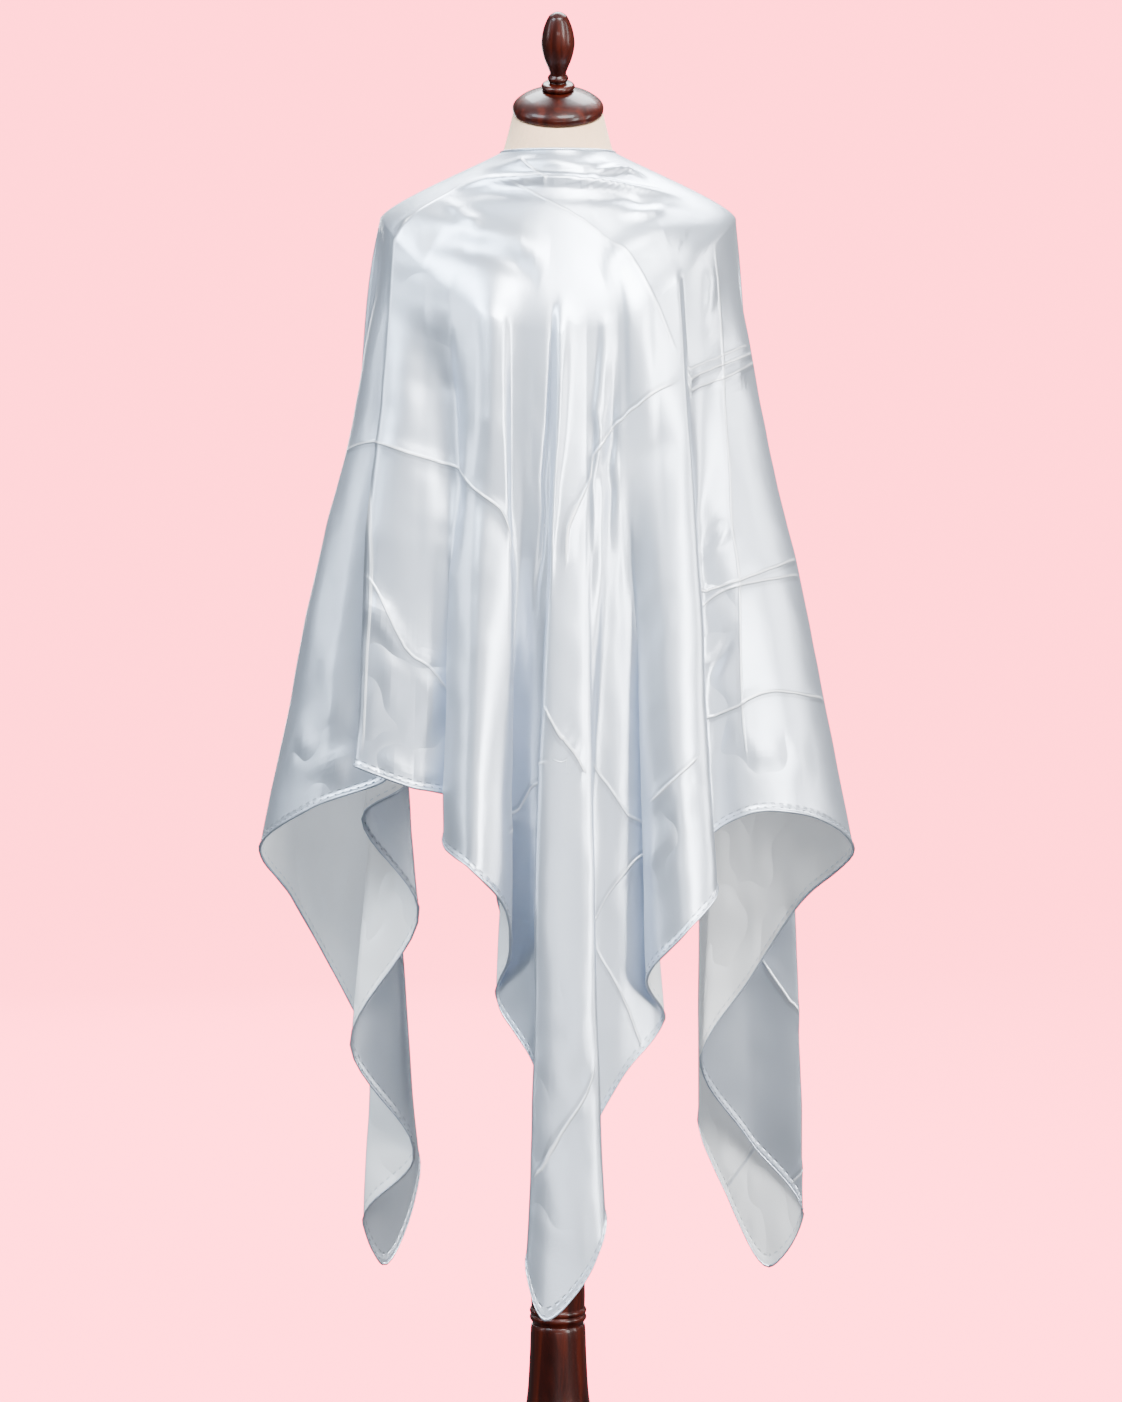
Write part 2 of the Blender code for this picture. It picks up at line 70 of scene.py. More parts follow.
class Graph:
    def __init__(self, name):
        self.material = bpy.data.materials.new(name)
        self.material.use_nodes = True
        self.tree = self.material.node_tree
        self.shader = self.tree.nodes["Principled BSDF"]

    def add(self, kind, settings, *values, out=0, **named):
        node = self.tree.nodes.new(kind)
        for key, value in settings.items():
            if key == "stops":
                ramp = node.color_ramp.elements
                for k, (place, color) in enumerate(value):
                    stop = ramp[k] if k < 2 else ramp.new(place)
                    stop.position, stop.color = place, (*color, 1.0)
            else:
                setattr(node, key, value)
        for key, value in [*enumerate(values), *named.items()]:
            self.plug(node.inputs[key], value)
        return Wire(self, node.outputs[out])

    def plug(self, socket, value):
        if isinstance(value, Wire):
            self.tree.links.new(value.socket, socket)
        else:
            socket.default_value = value

    def maths(self, operation, *values):
        return self.add("ShaderNodeMath", {"operation": operation}, *values)

    def parts(self, vector):
        node = self.add("ShaderNodeSeparateXYZ", {}, vector).socket.node
        return [Wire(self, socket) for socket in node.outputs]

    def mix(self, factor, first, second):
        return self.add("ShaderNodeMix", {"data_type": "RGBA"}, out=2, **{
            "Factor": factor, "A": first, "B": second})

    def finish(self, inputs):
        for key, value in inputs.items():
            self.plug(self.shader.inputs[key], value)
        return self.material


# the scarf's surface follows the same ribs as its solids, on a finer grid
Rib = namedtuple("Rib", "name turn x y z bow late swing", defaults=(0.0, 1.0, 0.0))

# turn: degrees round the shoulder line from the front, by the left. x, y, z: the hem, in cm.
# bow: sideways at mid length. late: above 1 opens near the hem. swing: sideways under the shoulder.
ribs = [
    Rib("frontEdgeLeft", 0, -3.4, -25.5, 34.6),
    Rib("frontReturnLeft", 3, 0.2, -20.5, 45.0),
    Rib("hollowLeft", 7, -3.0, -17.5, 57.0),
    Rib("hollowTurnLeft", 10, -7.0, -14.5, 63.6),
    Rib("foldReturnLeft", 13, -5.4, -17.5, 68.6),
    Rib("foldEdgeLeft", 17, -6.0, -20.5, 74.5, 0.4),
    Rib("foldFrontLeft", 24, -9.7, -22.8, 79.0),
    Rib("foldSideLeft", 33, -12.9, -18.5, 81.5),
    Rib("flapRoot", 38, -11.5, -14.5, 86.0),
    Rib("flap", 48, -17.0, -16.0, 87.7),
    Rib("flapEdge", 60, -23.0, -15.0, 89.9),
    Rib("flapReturn", 65, -19.5, -12.0, 88.5),
    Rib("sideFrontLeft", 69, -28.2, -9.0, 84.7),
    Rib("sideEdgeLeft", 75, -34.9, -2.0, 79.4),
    Rib("sideBackLeft", 79, -32.0, 6.0, 72.6),
    Rib("sideInnerLeft", 83, -25.6, 13.5, 58.8, 0.0, 1.0, -1.2),
    Rib("tailBackLeft", 86, -20.0, 17.5, 46.5, 0.0, 2.6, -1.8),
    Rib("tailTurnLeft", 88.5, -17.2, 15.5, 38.5, 0.0, 2.6, -1.3),
    Rib("tailTipLeft", 91, -21.5, 10.5, 27.0, 0.0, 2.6, -0.7),
    Rib("cascade1", 94, -23.6, 8.0, 33.0, 0.0, 2.6, 0.0),
    Rib("cascade2", 98, -17.3, 4.5, 41.0, 0.2, 2.6, 0.7),
    Rib("cascade3", 102, -24.5, 0.0, 55.6, 0.0, 2.6, 1.5),
    Rib("cascade4", 106, -16.4, -3.5, 72.4, 0.2, 2.6, 2.2),
    Rib("cascade5", 110, -22.3, -7.0, 84.0, 0.0, 2.6, 2.8),
    Rib("innerFrontLeft", 114, -18.3, -8.6, 86.5, 0.0, 1.0, 3.0),
    Rib("innerSideLeft", 120, -16.1, -1.5, 89.0, 0.0, 1.0, 2.0),
    Rib("innerBackLeft", 128, -13.5, 10.0, 90.0, 0.0, 1.0, 0.8),
    Rib("backSideLeft", 137, -17.5, 18.5, 88.5),
    Rib("backFoldLeft", 146, -13.5, 22.0, 85.0),
    Rib("backHollowLeft", 154, -8.5, 17.5, 80.0),
    Rib("backTurnLeft", 161, -7.5, 22.5, 70.0),
    Rib("backEdgeLeft", 168, -3.5, 26.0, 56.0),
    Rib("backReturnLeft", 174, -2.0, 20.5, 45.0),
    Rib("backTip", 180, 1.0, 24.0, 30.0),
    Rib("backReturnRight", 186, 3.0, 20.5, 44.0),
    Rib("backEdgeRight", 192, 4.0, 26.0, 56.0),
    Rib("backTurnRight", 199, 7.5, 22.5, 70.0),
    Rib("backHollowRight", 206, 8.5, 17.5, 79.5),
    Rib("backFoldRight", 214, 12.5, 22.5, 84.5),
    Rib("backSideRight", 226, 16.5, 18.0, 88.5),
    Rib("innerBackRight", 237, 18.5, 22.0, 86.5),
    Rib("innerSideRight", 244, 23.5, 25.5, 78.0),
    Rib("tailOuterRight", 250, 28.5, 24.5, 67.0),
    Rib("tailFarRight", 255, 24.5, 21.5, 56.0),
    Rib("tailLeftRight", 259, 17.4, 18.0, 43.3, -1.2),
    Rib("tailFrontRight", 262, 20.4, 17.5, 35.3),
    Rib("tailTipRight", 265, 26.2, 17.0, 25.2),
    Rib("tailEdgeRight", 268, 30.1, 14.0, 32.4, 1.8),
    Rib("tailMidRight", 271, 23.5, 14.0, 41.6),
    Rib("tailTurnRight", 274, 17.4, 9.5, 52.5),
    Rib("sideInnerRight", 277.5, 23.1, 8.0, 62.3),
    Rib("sideBackRight", 281, 29.0, 4.5, 72.1),
    Rib("sideEdgeRight", 286, 34.6, -3.0, 79.2),
    Rib("sideFrontRight", 296, 27.7, -10.5, 84.1),
    Rib("sideFoldRight", 306, 22.1, -12.0, 84.3),
    Rib("sideReturnRight", 314, 17.2, -12.0, 81.5),
    Rib("foldSideRight", 317, 16.6, -15.0, 79.5),
    Rib("foldEdgeRight", 320, 17.9, -19.0, 76.0),
    Rib("foldFrontRight", 329, 14.2, -21.8, 71.7),
    Rib("foldReturnRight", 337, 10.0, -18.8, 65.9),
    Rib("hollowTurnRight", 339.5, 12.0, -15.5, 61.1),
    Rib("hollowRight", 342, 7.4, -17.0, 54.9),
    Rib("frontReturnRight", 344.5, 2.9, -19.5, 44.5, -0.6),
    Rib("frontEdgeRight", 347, 5.2, -24.0, 40.2, -1.0),
    Rib("frontSideRight", 351, 3.0, -26.3, 33.5),
    Rib("frontTip", 355, -1.5, -27.0, 29.4),
]
ribNames = [rib.name for rib in ribs]
cornerNames = ("frontTip", "tailTipLeft", "backTip", "tailTipRight")

scarf = {
    "side": 2.0, "thickness": 0.0011,
    "columnsPerRib": 9, "yokeRows": 48, "skirtRows": 84,
    "neckHalfWidth": 0.066, "neckFront": 0.074, "neckBack": 0.070,
    "neckHeight": 1.604, "neckDip": 0.004, "neckOpening": 0.075,
    "shoulderHalfWidth": 0.2075, "bustReach": 0.148, "backReach": 0.120,
    "bustHeight": 1.385, "shoulderHeight": 1.526,
    "shoulderTurn": 0.05, "bustTurn": 0.20,  # length of the bend over them
    "leaveFront": 0.9, "leaveSide": 0.75,  # how straight the cloth leaves the neckline
    "swingPeak": 9.5,  # brings a swing to its own size where it is widest
    "evening": (0.1, 0.2, 0.4, 0.2, 0.1),  # a rib and its neighbours, in the hem that late ribs open from
    "calmTurn": 13.0, "crispTurn": 4.0,  # degrees of hem averaged: for the fall, and for its broad waves
    "growFront": 0.5, "growSide": 0.16,  # share of the skirt over which the broad waves grow
    "crispStart": 0.18, "crispFull": 0.6,  # where the folds begin, and where they are whole
}


def smoothStep(x):
    x = np.clip(x, 0, 1)
    return x * x * (3 - 2 * x)


def unit(vectors):
    return vectors / np.maximum(np.linalg.norm(vectors, axis=-1, keepdims=True), 1e-9)


def hermite(t, start, leave, end, arrive):
    a, b = t * t, t * t * t
    return (2*b - 3*a + 1) * start + (b - 2*a + t) * leave + (3*a - 2*b) * end + (b - a) * arrive


def byTurn(angle, front, side, back):
    end = np.where(np.cos(angle) > 0, front, back)
    return end + (side - end) * np.sin(angle) ** 2


def smoothLoop(values, spans, index, t):
    # closed curve through the values, at share t of the span after each index
    count = len(values)
    before, here, after, later = (values[(index + k) % count] for k in (-1, 0, 1, 2))
    s0, s1, s2 = (spans[(index + k) % count][:, None] for k in (-1, 0, 1))
    slopeHere = ((here - before) / s0 * s1 + (after - here) / s1 * s0) / (s0 + s1)
    slopeAfter = ((after - here) / s1 * s2 + (later - after) / s2 * s1) / (s1 + s2)
    return hermite(t[:, None], here, slopeHere * s1, after, slopeAfter * s1)


def smoothTurns(turns, spans, index, t):
    # turns of the columns, rising smoothly through the ribs' own
    slopes = np.diff(turns) / spans
    atRib = 2 / (1 / slopes + 1 / np.roll(slopes, 1))
    after = (index + 1) % len(spans)
    return hermite(t, turns[index], atRib[index] * spans[index],
                   turns[index + 1], atRib[after] * spans[index])


def ringPoints(angle, halfWidth, reach, height):
    return np.stack([-halfWidth * np.sin(angle), -reach * np.cos(angle), height], -1)


def draped(s):
    # grid of the scarf's middle surface: rows from the neckline to the hem, columns round it
    count = len(ribs)
    hems = np.array([(rib.x, rib.y, rib.z) for rib in ribs]) * cm
    spans = np.linalg.norm(np.roll(hems, -1, axis=0) - hems, axis=1)
    even = sum(w * np.roll(hems, k - 2, axis=0) for k, w in enumerate(s["evening"]))
    ways = np.array([(rib.bow * cm, rib.late, rib.swing * cm) for rib in ribs])
    rows = np.hstack([hems, even[:, :2], ways])
    column = np.arange(count * s["columnsPerRib"])
    index, t = column // s["columnsPerRib"], column % s["columnsPerRib"] / s["columnsPerRib"]
    row = smoothLoop(rows, spans, index, t)
    hem, even, bow, swing = row[:, :3], row[:, 3:5], row[:, 5], row[:, 7]
    late = np.maximum(row[:, 6], 1)
    turn = smoothTurns(np.array([rib.turn for rib in ribs] + [360.0]), spans, index, t)
    angle = np.radians(turn)
    # the hem without its folds, averaged over more and over fewer degrees
    apart = (turn[:, None] - turn + 180) % 360 - 180
    calm, soft = (weights @ hem / weights.sum(axis=1, keepdims=True) for weights in (
        np.exp(-(apart / s[reach]) ** 2 / 2) * np.gradient(turn) for reach in ("calmTurn", "crispTurn")))
    front = np.cos(angle) > 0
    neck = ringPoints(angle, s["neckHalfWidth"], np.where(front, s["neckFront"], s["neckBack"]),
                      s["neckHeight"] - s["neckDip"] * np.cos(angle))
    shoulder = ringPoints(angle, s["shoulderHalfWidth"], np.where(front, s["bustReach"], s["backReach"]),
                          byTurn(angle, s["bustHeight"], s["shoulderHeight"], s["bustHeight"]))
    fall = unit(calm - shoulder)
    grow = byTurn(angle, s["growFront"], s["growSide"], s["growFront"])
    leave = (shoulder - neck) * byTurn(angle, s["leaveFront"], s["leaveSide"], s["leaveFront"])[:, None]
    arrive = fall * byTurn(angle, s["bustTurn"], s["shoulderTurn"], s["bustTurn"])[:, None]
    grid = [hermite(k / s["yokeRows"], neck, leave, shoulder, arrive) for k in range(s["yokeRows"])]
    for k in range(s["skirtRows"] + 1):
        share = k / s["skirtRows"]
        crisp = smoothStep((share - s["crispStart"]) / (s["crispFull"] - s["crispStart"]))
        place = shoulder + (calm - shoulder) * share + (hem - soft) * share * crisp
        place += (soft - calm) * (share * smoothStep(share / grow))[:, None]
        place[:, :2] -= (hem[:, :2] - even) * (share - share ** late)[:, None]
        place[:, 0] += bow * 4 * share * (1 - share)
        place[:, 0] += swing * s["swingPeak"] * share * (1 - share) ** 3
        grid.append(place)
    return np.array(grid), hem, angle


def outward(grid):
    along = np.roll(grid, -1, axis=1) - np.roll(grid, 1, axis=1)
    return unit(np.cross(along, np.gradient(grid, axis=0)))


def flatPlaces(grid, hem, angle, s):
    # where each point lies on the flat square: its distance from the right front and the left front side
    tips = [ribNames.index(name) * s["columnsPerRib"] for name in cornerNames]
    count = len(hem)
    steps = np.linalg.norm(np.roll(hem, -1, axis=0) - hem, axis=1)
    size = s["side"]
    corners = np.array([(0, 0), (size, 0), (size, size), (0, size), (0, 0)])
    edge = np.zeros((count, 2))
    for k in range(4):
        stop = tips[(k + 1) % 4]
        run = [j % count for j in range(tips[k], stop + (count if stop < tips[k] else 0))]
        gone = np.cumsum(steps[run]) - steps[run]
        share = (gone / steps[run].sum())[:, None]
        edge[run] = corners[k] + (corners[k + 1] - corners[k]) * share
    ahead, left = np.array([-1, -1]) / math.sqrt(2), np.array([1, -1]) / math.sqrt(2)
    away = np.cos(angle)[:, None] * ahead + np.sin(angle)[:, None] * left
    neck = size / 2 + away * s["neckOpening"]
    gone = np.cumsum(np.linalg.norm(np.diff(grid, axis=0, prepend=grid[:1]), axis=2), axis=0)
    return neck + (edge - neck) * (gone / gone[-1])[:, :, None]


grid, hemLine, angle = draped(scarf)
flat = flatPlaces(grid, hemLine, angle, scarf)
columnCount = len(hemLine)
turn = np.degrees(angle)
down = np.concatenate([np.arange(scarf["yokeRows"]) / scarf["yokeRows"],
                       1 + np.arange(scarf["skirtRows"] + 1) / scarf["skirtRows"]])[:, None]
print("scarf surface:", grid.shape[0], "rows,", columnCount, "columns")


def columnsBetween(first, last):
    start, stop = (ribNames.index(name) * scarf["columnsPerRib"] for name in (first, last))
    return np.arange(start, stop + 1 + (columnCount if stop < start else 0)) % columnCount


# folds and creases are placed by what shows from here, in metres from the stand and the floor
eye = {"distance": 3.8, "height": 1.17}


def seenPlaces(points):
    # across and up, in cm, on the upright plane through the stand, as seen from the camera
    near = 1 + points[..., 1] / eye["distance"]
    return np.stack([points[..., 0] / near, eye["height"] + (points[..., 2] - eye["height"]) / near], -1) / cm


seen = seenPlaces(grid)
facing = outward(grid)[..., 1] < 0.1  # the outside, or nearly edge-on
outOfReach = 9.0


def smoothLine(points, steps=6):
    points = np.array(points, float)
    padded = np.vstack([2 * points[0] - points[1], points, 2 * points[-1] - points[-2]])
    line = [hermite(k / steps, b, (c - a) / 2, c, (d - b) / 2)
            for a, b, c, d in zip(padded, padded[1:], padded[2:], padded[3:]) for k in range(steps)]
    return np.array(line + [points[-1]])


def onCloth(points, first, last, slack=0.6, behind=5.0, reach=3.0):
    # places on the flat cloth of points seen in the view, between two ribs; the frontmost layer wins
    # slack: cm within which layers vie. behind: cm held against the inside. reach: grid steps to the point
    columns = columnsBetween(first, last)
    view, places = seen[:, columns], flat[:, columns]
    depth, ahead = grid[:, columns, 1], facing[:, columns]
    found = []
    for point in smoothLine(points, 3):
        gap = np.linalg.norm(view - point, axis=2) + np.where(ahead, 0, behind)
        i, j = np.unravel_index(np.where(gap < gap.min() + slack, depth, outOfReach).argmin(), depth.shape)
        i, j = min(max(i, 1), len(view) - 2), min(max(j, 1), view.shape[1] - 2)
        steps = np.stack([view[i + 1, j] - view[i - 1, j], view[i, j + 1] - view[i, j - 1]], 1) / 2
        move = np.clip(np.linalg.lstsq(steps, point - view[i, j], rcond=None)[0], -reach, reach)
        found.append(places[i, j] + (places[i + 1, j] - places[i - 1, j]) / 2 * move[0]
                     + (places[i, j + 1] - places[i, j - 1]) / 2 * move[1])
    return np.array(found)


def fromLine(line, reach=0.07):
    # signed distance of every point of the cloth from a line on it, and how far along that is, 0 to 1
    lengths = np.linalg.norm(np.diff(line, axis=0), axis=1)
    starts = np.concatenate([[0], np.cumsum(lengths)]) / lengths.sum()
    near = np.all((flat > line.min(axis=0) - reach) & (flat < line.max(axis=0) + reach), axis=2)
    places = flat[near]
    gap, along = np.full(len(places), outOfReach), np.zeros(len(places))
    signed = gap.copy()
    for a, b, start, stop in zip(line, line[1:], starts, starts[1:]):
        run = b - a
        share = np.clip(((places - a) @ run) / (run @ run), 0, 1)
        away = places - a - share[:, None] * run
        distance = np.linalg.norm(away, axis=1)
        closer = distance < gap
        gap[closer] = distance[closer]
        side = run[0] * away[:, 1] - run[1] * away[:, 0]
        signed[closer] = np.copysign(distance, side)[closer]
        along[closer] = (start + (stop - start) * share)[closer]
    allSigned, allAlong = np.full(flat.shape[:2], outOfReach), np.zeros(flat.shape[:2])
    allSigned[near], allAlong[near] = signed, along
    return allSigned, allAlong


def opposite(line):
    # the same line on the other side of the square's diagonal, from the front to the back
    return scarf["side"] - line[:, ::-1]


def fadeEnds(along, ends):
    return np.clip(along / ends, 0, 1) * np.clip((1 - along) / ends, 0, 1)


# soft folds: ribs to search between, width and height in cm, points in cm across and up in the view
Fold = namedtuple("Fold", "name first last width height points")
folds = [
    Fold("neck band", "sideBackRight", "sideBackLeft", 0.9, 0.35,
         [(-9.4, 158.6), (-4.7, 159.3), (-0.7, 159.2), (3.2, 158.8), (6.4, 159.3), (9.6, 158.2)]),
    Fold("cowl", "sideBackRight", "sideBackLeft", 0.55, 0.75,
         [(-12.4, 156.0), (-8.9, 157.2), (-6.0, 157.3), (0.2, 157.3), (4.9, 157.0), (9.6, 156.4),
          (15.0, 155.2)]),
    Fold("under the cowl", "sideBackRight", "sideBackLeft", 0.9, -0.35,
         [(-12.0, 154.6), (-8.5, 155.8), (0.2, 155.9), (5.0, 155.6), (9.8, 154.9), (15.5, 153.6)]),
    Fold("tuck", "sideBackRight", "frontTip", 0.4, 0.5,
         [(3.6, 157.6), (5.6, 158.3), (8.4, 158.6), (10.5, 157.4)]),
    Fold("drape from the left shoulder", "frontTip", "flapEdge", 1.8, 0.35,
         [(-17.6, 152.6), (-12.0, 152.0), (-6.0, 150.6), (-1.0, 148.6)]),
    Fold("drape from the right shoulder", "sideFoldRight", "frontTip", 1.8, 0.35,
         [(17.5, 152.0), (12.5, 151.4), (8.5, 149.4), (5.0, 146.6)]),
    Fold("chest hollow left", "frontTip", "flapEdge", 1.6, -0.3,
         [(-16.5, 149.8), (-11.0, 149.4), (-5.5, 147.6), (-2.0, 145.6)]),
    Fold("drag line left", "foldFrontLeft", "flapEdge", 0.8, 0.25,
         [(-13.0, 155.0), (-11.0, 153.2), (-8.6, 152.0)]),
    Fold("drag line right", "sideFoldRight", "foldReturnRight", 0.8, 0.3,
         [(13.6, 154.6), (10.2, 153.6), (7.0, 153.4)]),
    Fold("bust left", "foldFrontLeft", "flapEdge", 2.6, 1.0,
         [(-8.0, 150.0), (-7.4, 144.0), (-7.0, 138.0), (-7.0, 130.0), (-7.4, 120.0)]),
    Fold("hollow beside bust left", "foldFrontLeft", "flapEdge", 3.6, -1.7,
         [(-13.4, 142.0), (-13.4, 136.0), (-13.2, 127.0), (-13.2, 112.0)]),
    Fold("bust right", "foldEdgeRight", "hollowTurnRight", 3.0, 0.7,
         [(9.0, 148.0), (9.6, 141.0), (10.6, 134.0), (11.2, 126.0)]),
    Fold("hollow beside bust right", "foldEdgeRight", "frontTip", 2.2, -0.6,
         [(6.8, 138.0), (6.6, 130.0), (6.4, 121.0), (6.0, 112.0)]),
    Fold("pleat", "frontSideRight", "hollowTurnLeft", 0.55, 0.55,
         [(0.7, 144.4), (0.5, 138.0), (0.1, 128.6), (-0.5, 118.6), (-0.8, 108.0)]),
    Fold("groove beside the pleat", "frontSideRight", "hollowTurnLeft", 0.7, -0.5,
         [(-0.5, 143.4), (-0.9, 138.0), (-1.4, 128.6), (-2.0, 118.6), (-2.6, 106.0)]),
    Fold("second pleat", "foldReturnRight", "frontTip", 0.9, 0.3,
         [(5.3, 138.0), (5.1, 130.9), (4.7, 122.7), (4.4, 112.0)]),
    Fold("left panel roll", "sideFrontLeft", "sideEdgeLeft", 2.2, 0.2,
         [(-26.0, 125.0), (-27.2, 116.0), (-28.4, 107.0), (-29.6, 98.0)]),
    Fold("left panel slack", "sideFrontLeft", "sideEdgeLeft", 1.6, 0.25,
         [(-27.5, 105.0), (-26.5, 98.0), (-26.2, 91.0)]),
    Fold("right panel slack", "sideEdgeRight", "sideReturnRight", 1.2, -0.3,
         [(17.0, 99.0), (19.4, 102.0), (20.6, 105.5)]),
    Fold("right panel drag", "sideEdgeRight", "sideReturnRight", 1.0, 0.3,
         [(16.2, 113.5), (18.4, 114.8), (20.6, 117.6)]),
    Fold("right shoulder dimple", "sideEdgeRight", "sideFoldRight", 0.8, 0.25,
         [(17.2, 148.0), (17.8, 145.6), (17.6, 141.0)]),
]


# crumpled patches: reach in cm round a line, depth as a share of the deepest, points as for the folds
Patch = namedtuple("Patch", "name first last reach depth points")
patches = [
    Patch("flap low", "flapRoot", "flapEdge", 2.6, 1.0, [(-21.0, 107.0), (-19.5, 98.0), (-19.5, 89.0)]),
    Patch("flap foot", "flapRoot", "flapEdge", 2.0, 0.7, [(-15.5, 100.0), (-15.0, 94.0), (-15.5, 88.0)]),
    Patch("flap high", "flapRoot", "flapEdge", 2.2, 0.35, [(-18.0, 147.0), (-15.0, 144.0), (-14.0, 140.0)]),
    Patch("left panel foot", "sideFrontLeft", "sideEdgeLeft", 3.0, 0.7,
          [(-31.0, 92.0), (-28.5, 90.0), (-25.5, 89.0)]),
    Patch("right panel", "sideEdgeRight", "sideReturnRight", 2.8, 0.6,
          [(17.5, 118.0), (18.0, 107.0), (18.5, 97.0)]),
    Patch("right panel foot", "sideEdgeRight", "sideReturnRight", 3.0, 0.7,
          [(18.0, 91.0), (23.0, 91.0), (28.0, 90.0)]),
    Patch("right shoulder", "sideEdgeRight", "sideFoldRight", 1.6, 0.35,
          [(16.5, 149.0), (18.0, 146.0), (18.0, 140.0)]),
    Patch("right crease", "sideEdgeRight", "sideReturnRight", 1.6, 0.7,
          [(14.5, 133.5), (18.0, 134.0), (21.0, 135.0)]),
    Patch("right column foot", "foldSideRight", "foldReturnRight", 3.0, 0.5,
          [(15.0, 84.0), (12.0, 79.0), (9.0, 76.0)]),
    Patch("front foot", "frontReturnRight", "frontEdgeLeft", 3.5, 0.4,
          [(1.5, 60.0), (0.5, 50.0), (-1.0, 36.0)]),
]


def crumpleField():
    crumple = np.zeros(flat.shape[:2])
    for patch in patches:
        line = onCloth(patch.points, patch.first, patch.last)
        for side in (line, opposite(line)):
            gap, _ = fromLine(side)
            crumple = np.maximum(crumple, patch.depth * np.exp(-(gap / (patch.reach * cm)) ** 2))
    return crumple


def foldHeights(ends=0.3):
    height = np.zeros(flat.shape[:2])
    for fold in folds:
        line = onCloth(fold.points, fold.first, fold.last)
        for side in (line, opposite(line)):
            gap, along = fromLine(side)
            height += fold.height * cm * np.exp(-(gap / (fold.width * cm)) ** 2) * fadeEnds(along, ends)
    return height


# pleat edges: the cloth stands out along a rib and drops to the side of dropTurn; degrees, cm, down 0 to 2
Lip = namedtuple("Lip", "edgeTurn riseTurn dropTurn height start full fade stop")
lips = [
    Lip(60, 47, 62.5, 1.1, 0.35, 0.8, 1.5, 1.95),
    Lip(0, -9, 2.2, 0.8, 0.82, 1.05, 1.4, 1.8),
    Lip(17, 27, 14.2, 0.6, 0.90, 1.1, 1.4, 1.8),
    Lip(320, 329, 316.5, 0.6, 0.88, 1.1, 1.4, 1.8),
    Lip(345, 341, 348, 0.35, 0.9, 1.1, 1.3, 1.7),
    Lip(161, 151, 163, 0.7, 0.7, 1.0, 1.4, 1.8),
    Lip(199, 209, 196.5, 0.7, 0.8, 1.0, 1.4, 1.8),
    Lip(137, 128, 139.5, 0.5, 0.8, 1.0, 1.4, 1.8),
    Lip(226, 235, 223.5, 0.5, 0.8, 1.0, 1.4, 1.8),
]


def lipHeights():
    height = np.zeros(flat.shape[:2])
    for lip in lips:
        away = (turn - lip.edgeTurn + 180) % 360 - 180
        rise, drop = lip.riseTurn - lip.edgeTurn, lip.dropTurn - lip.edgeTurn
        onRise = away * rise >= 0
        share = np.where(onRise, 1 - away / rise, smoothStep(1 - away / drop))
        window = smoothStep((down - lip.start) / (lip.full - lip.start)) * smoothStep(
            (lip.stop - down) / (lip.stop - lip.fade))
        height += lip.height * cm * np.clip(share, 0, 1) * window
    return height


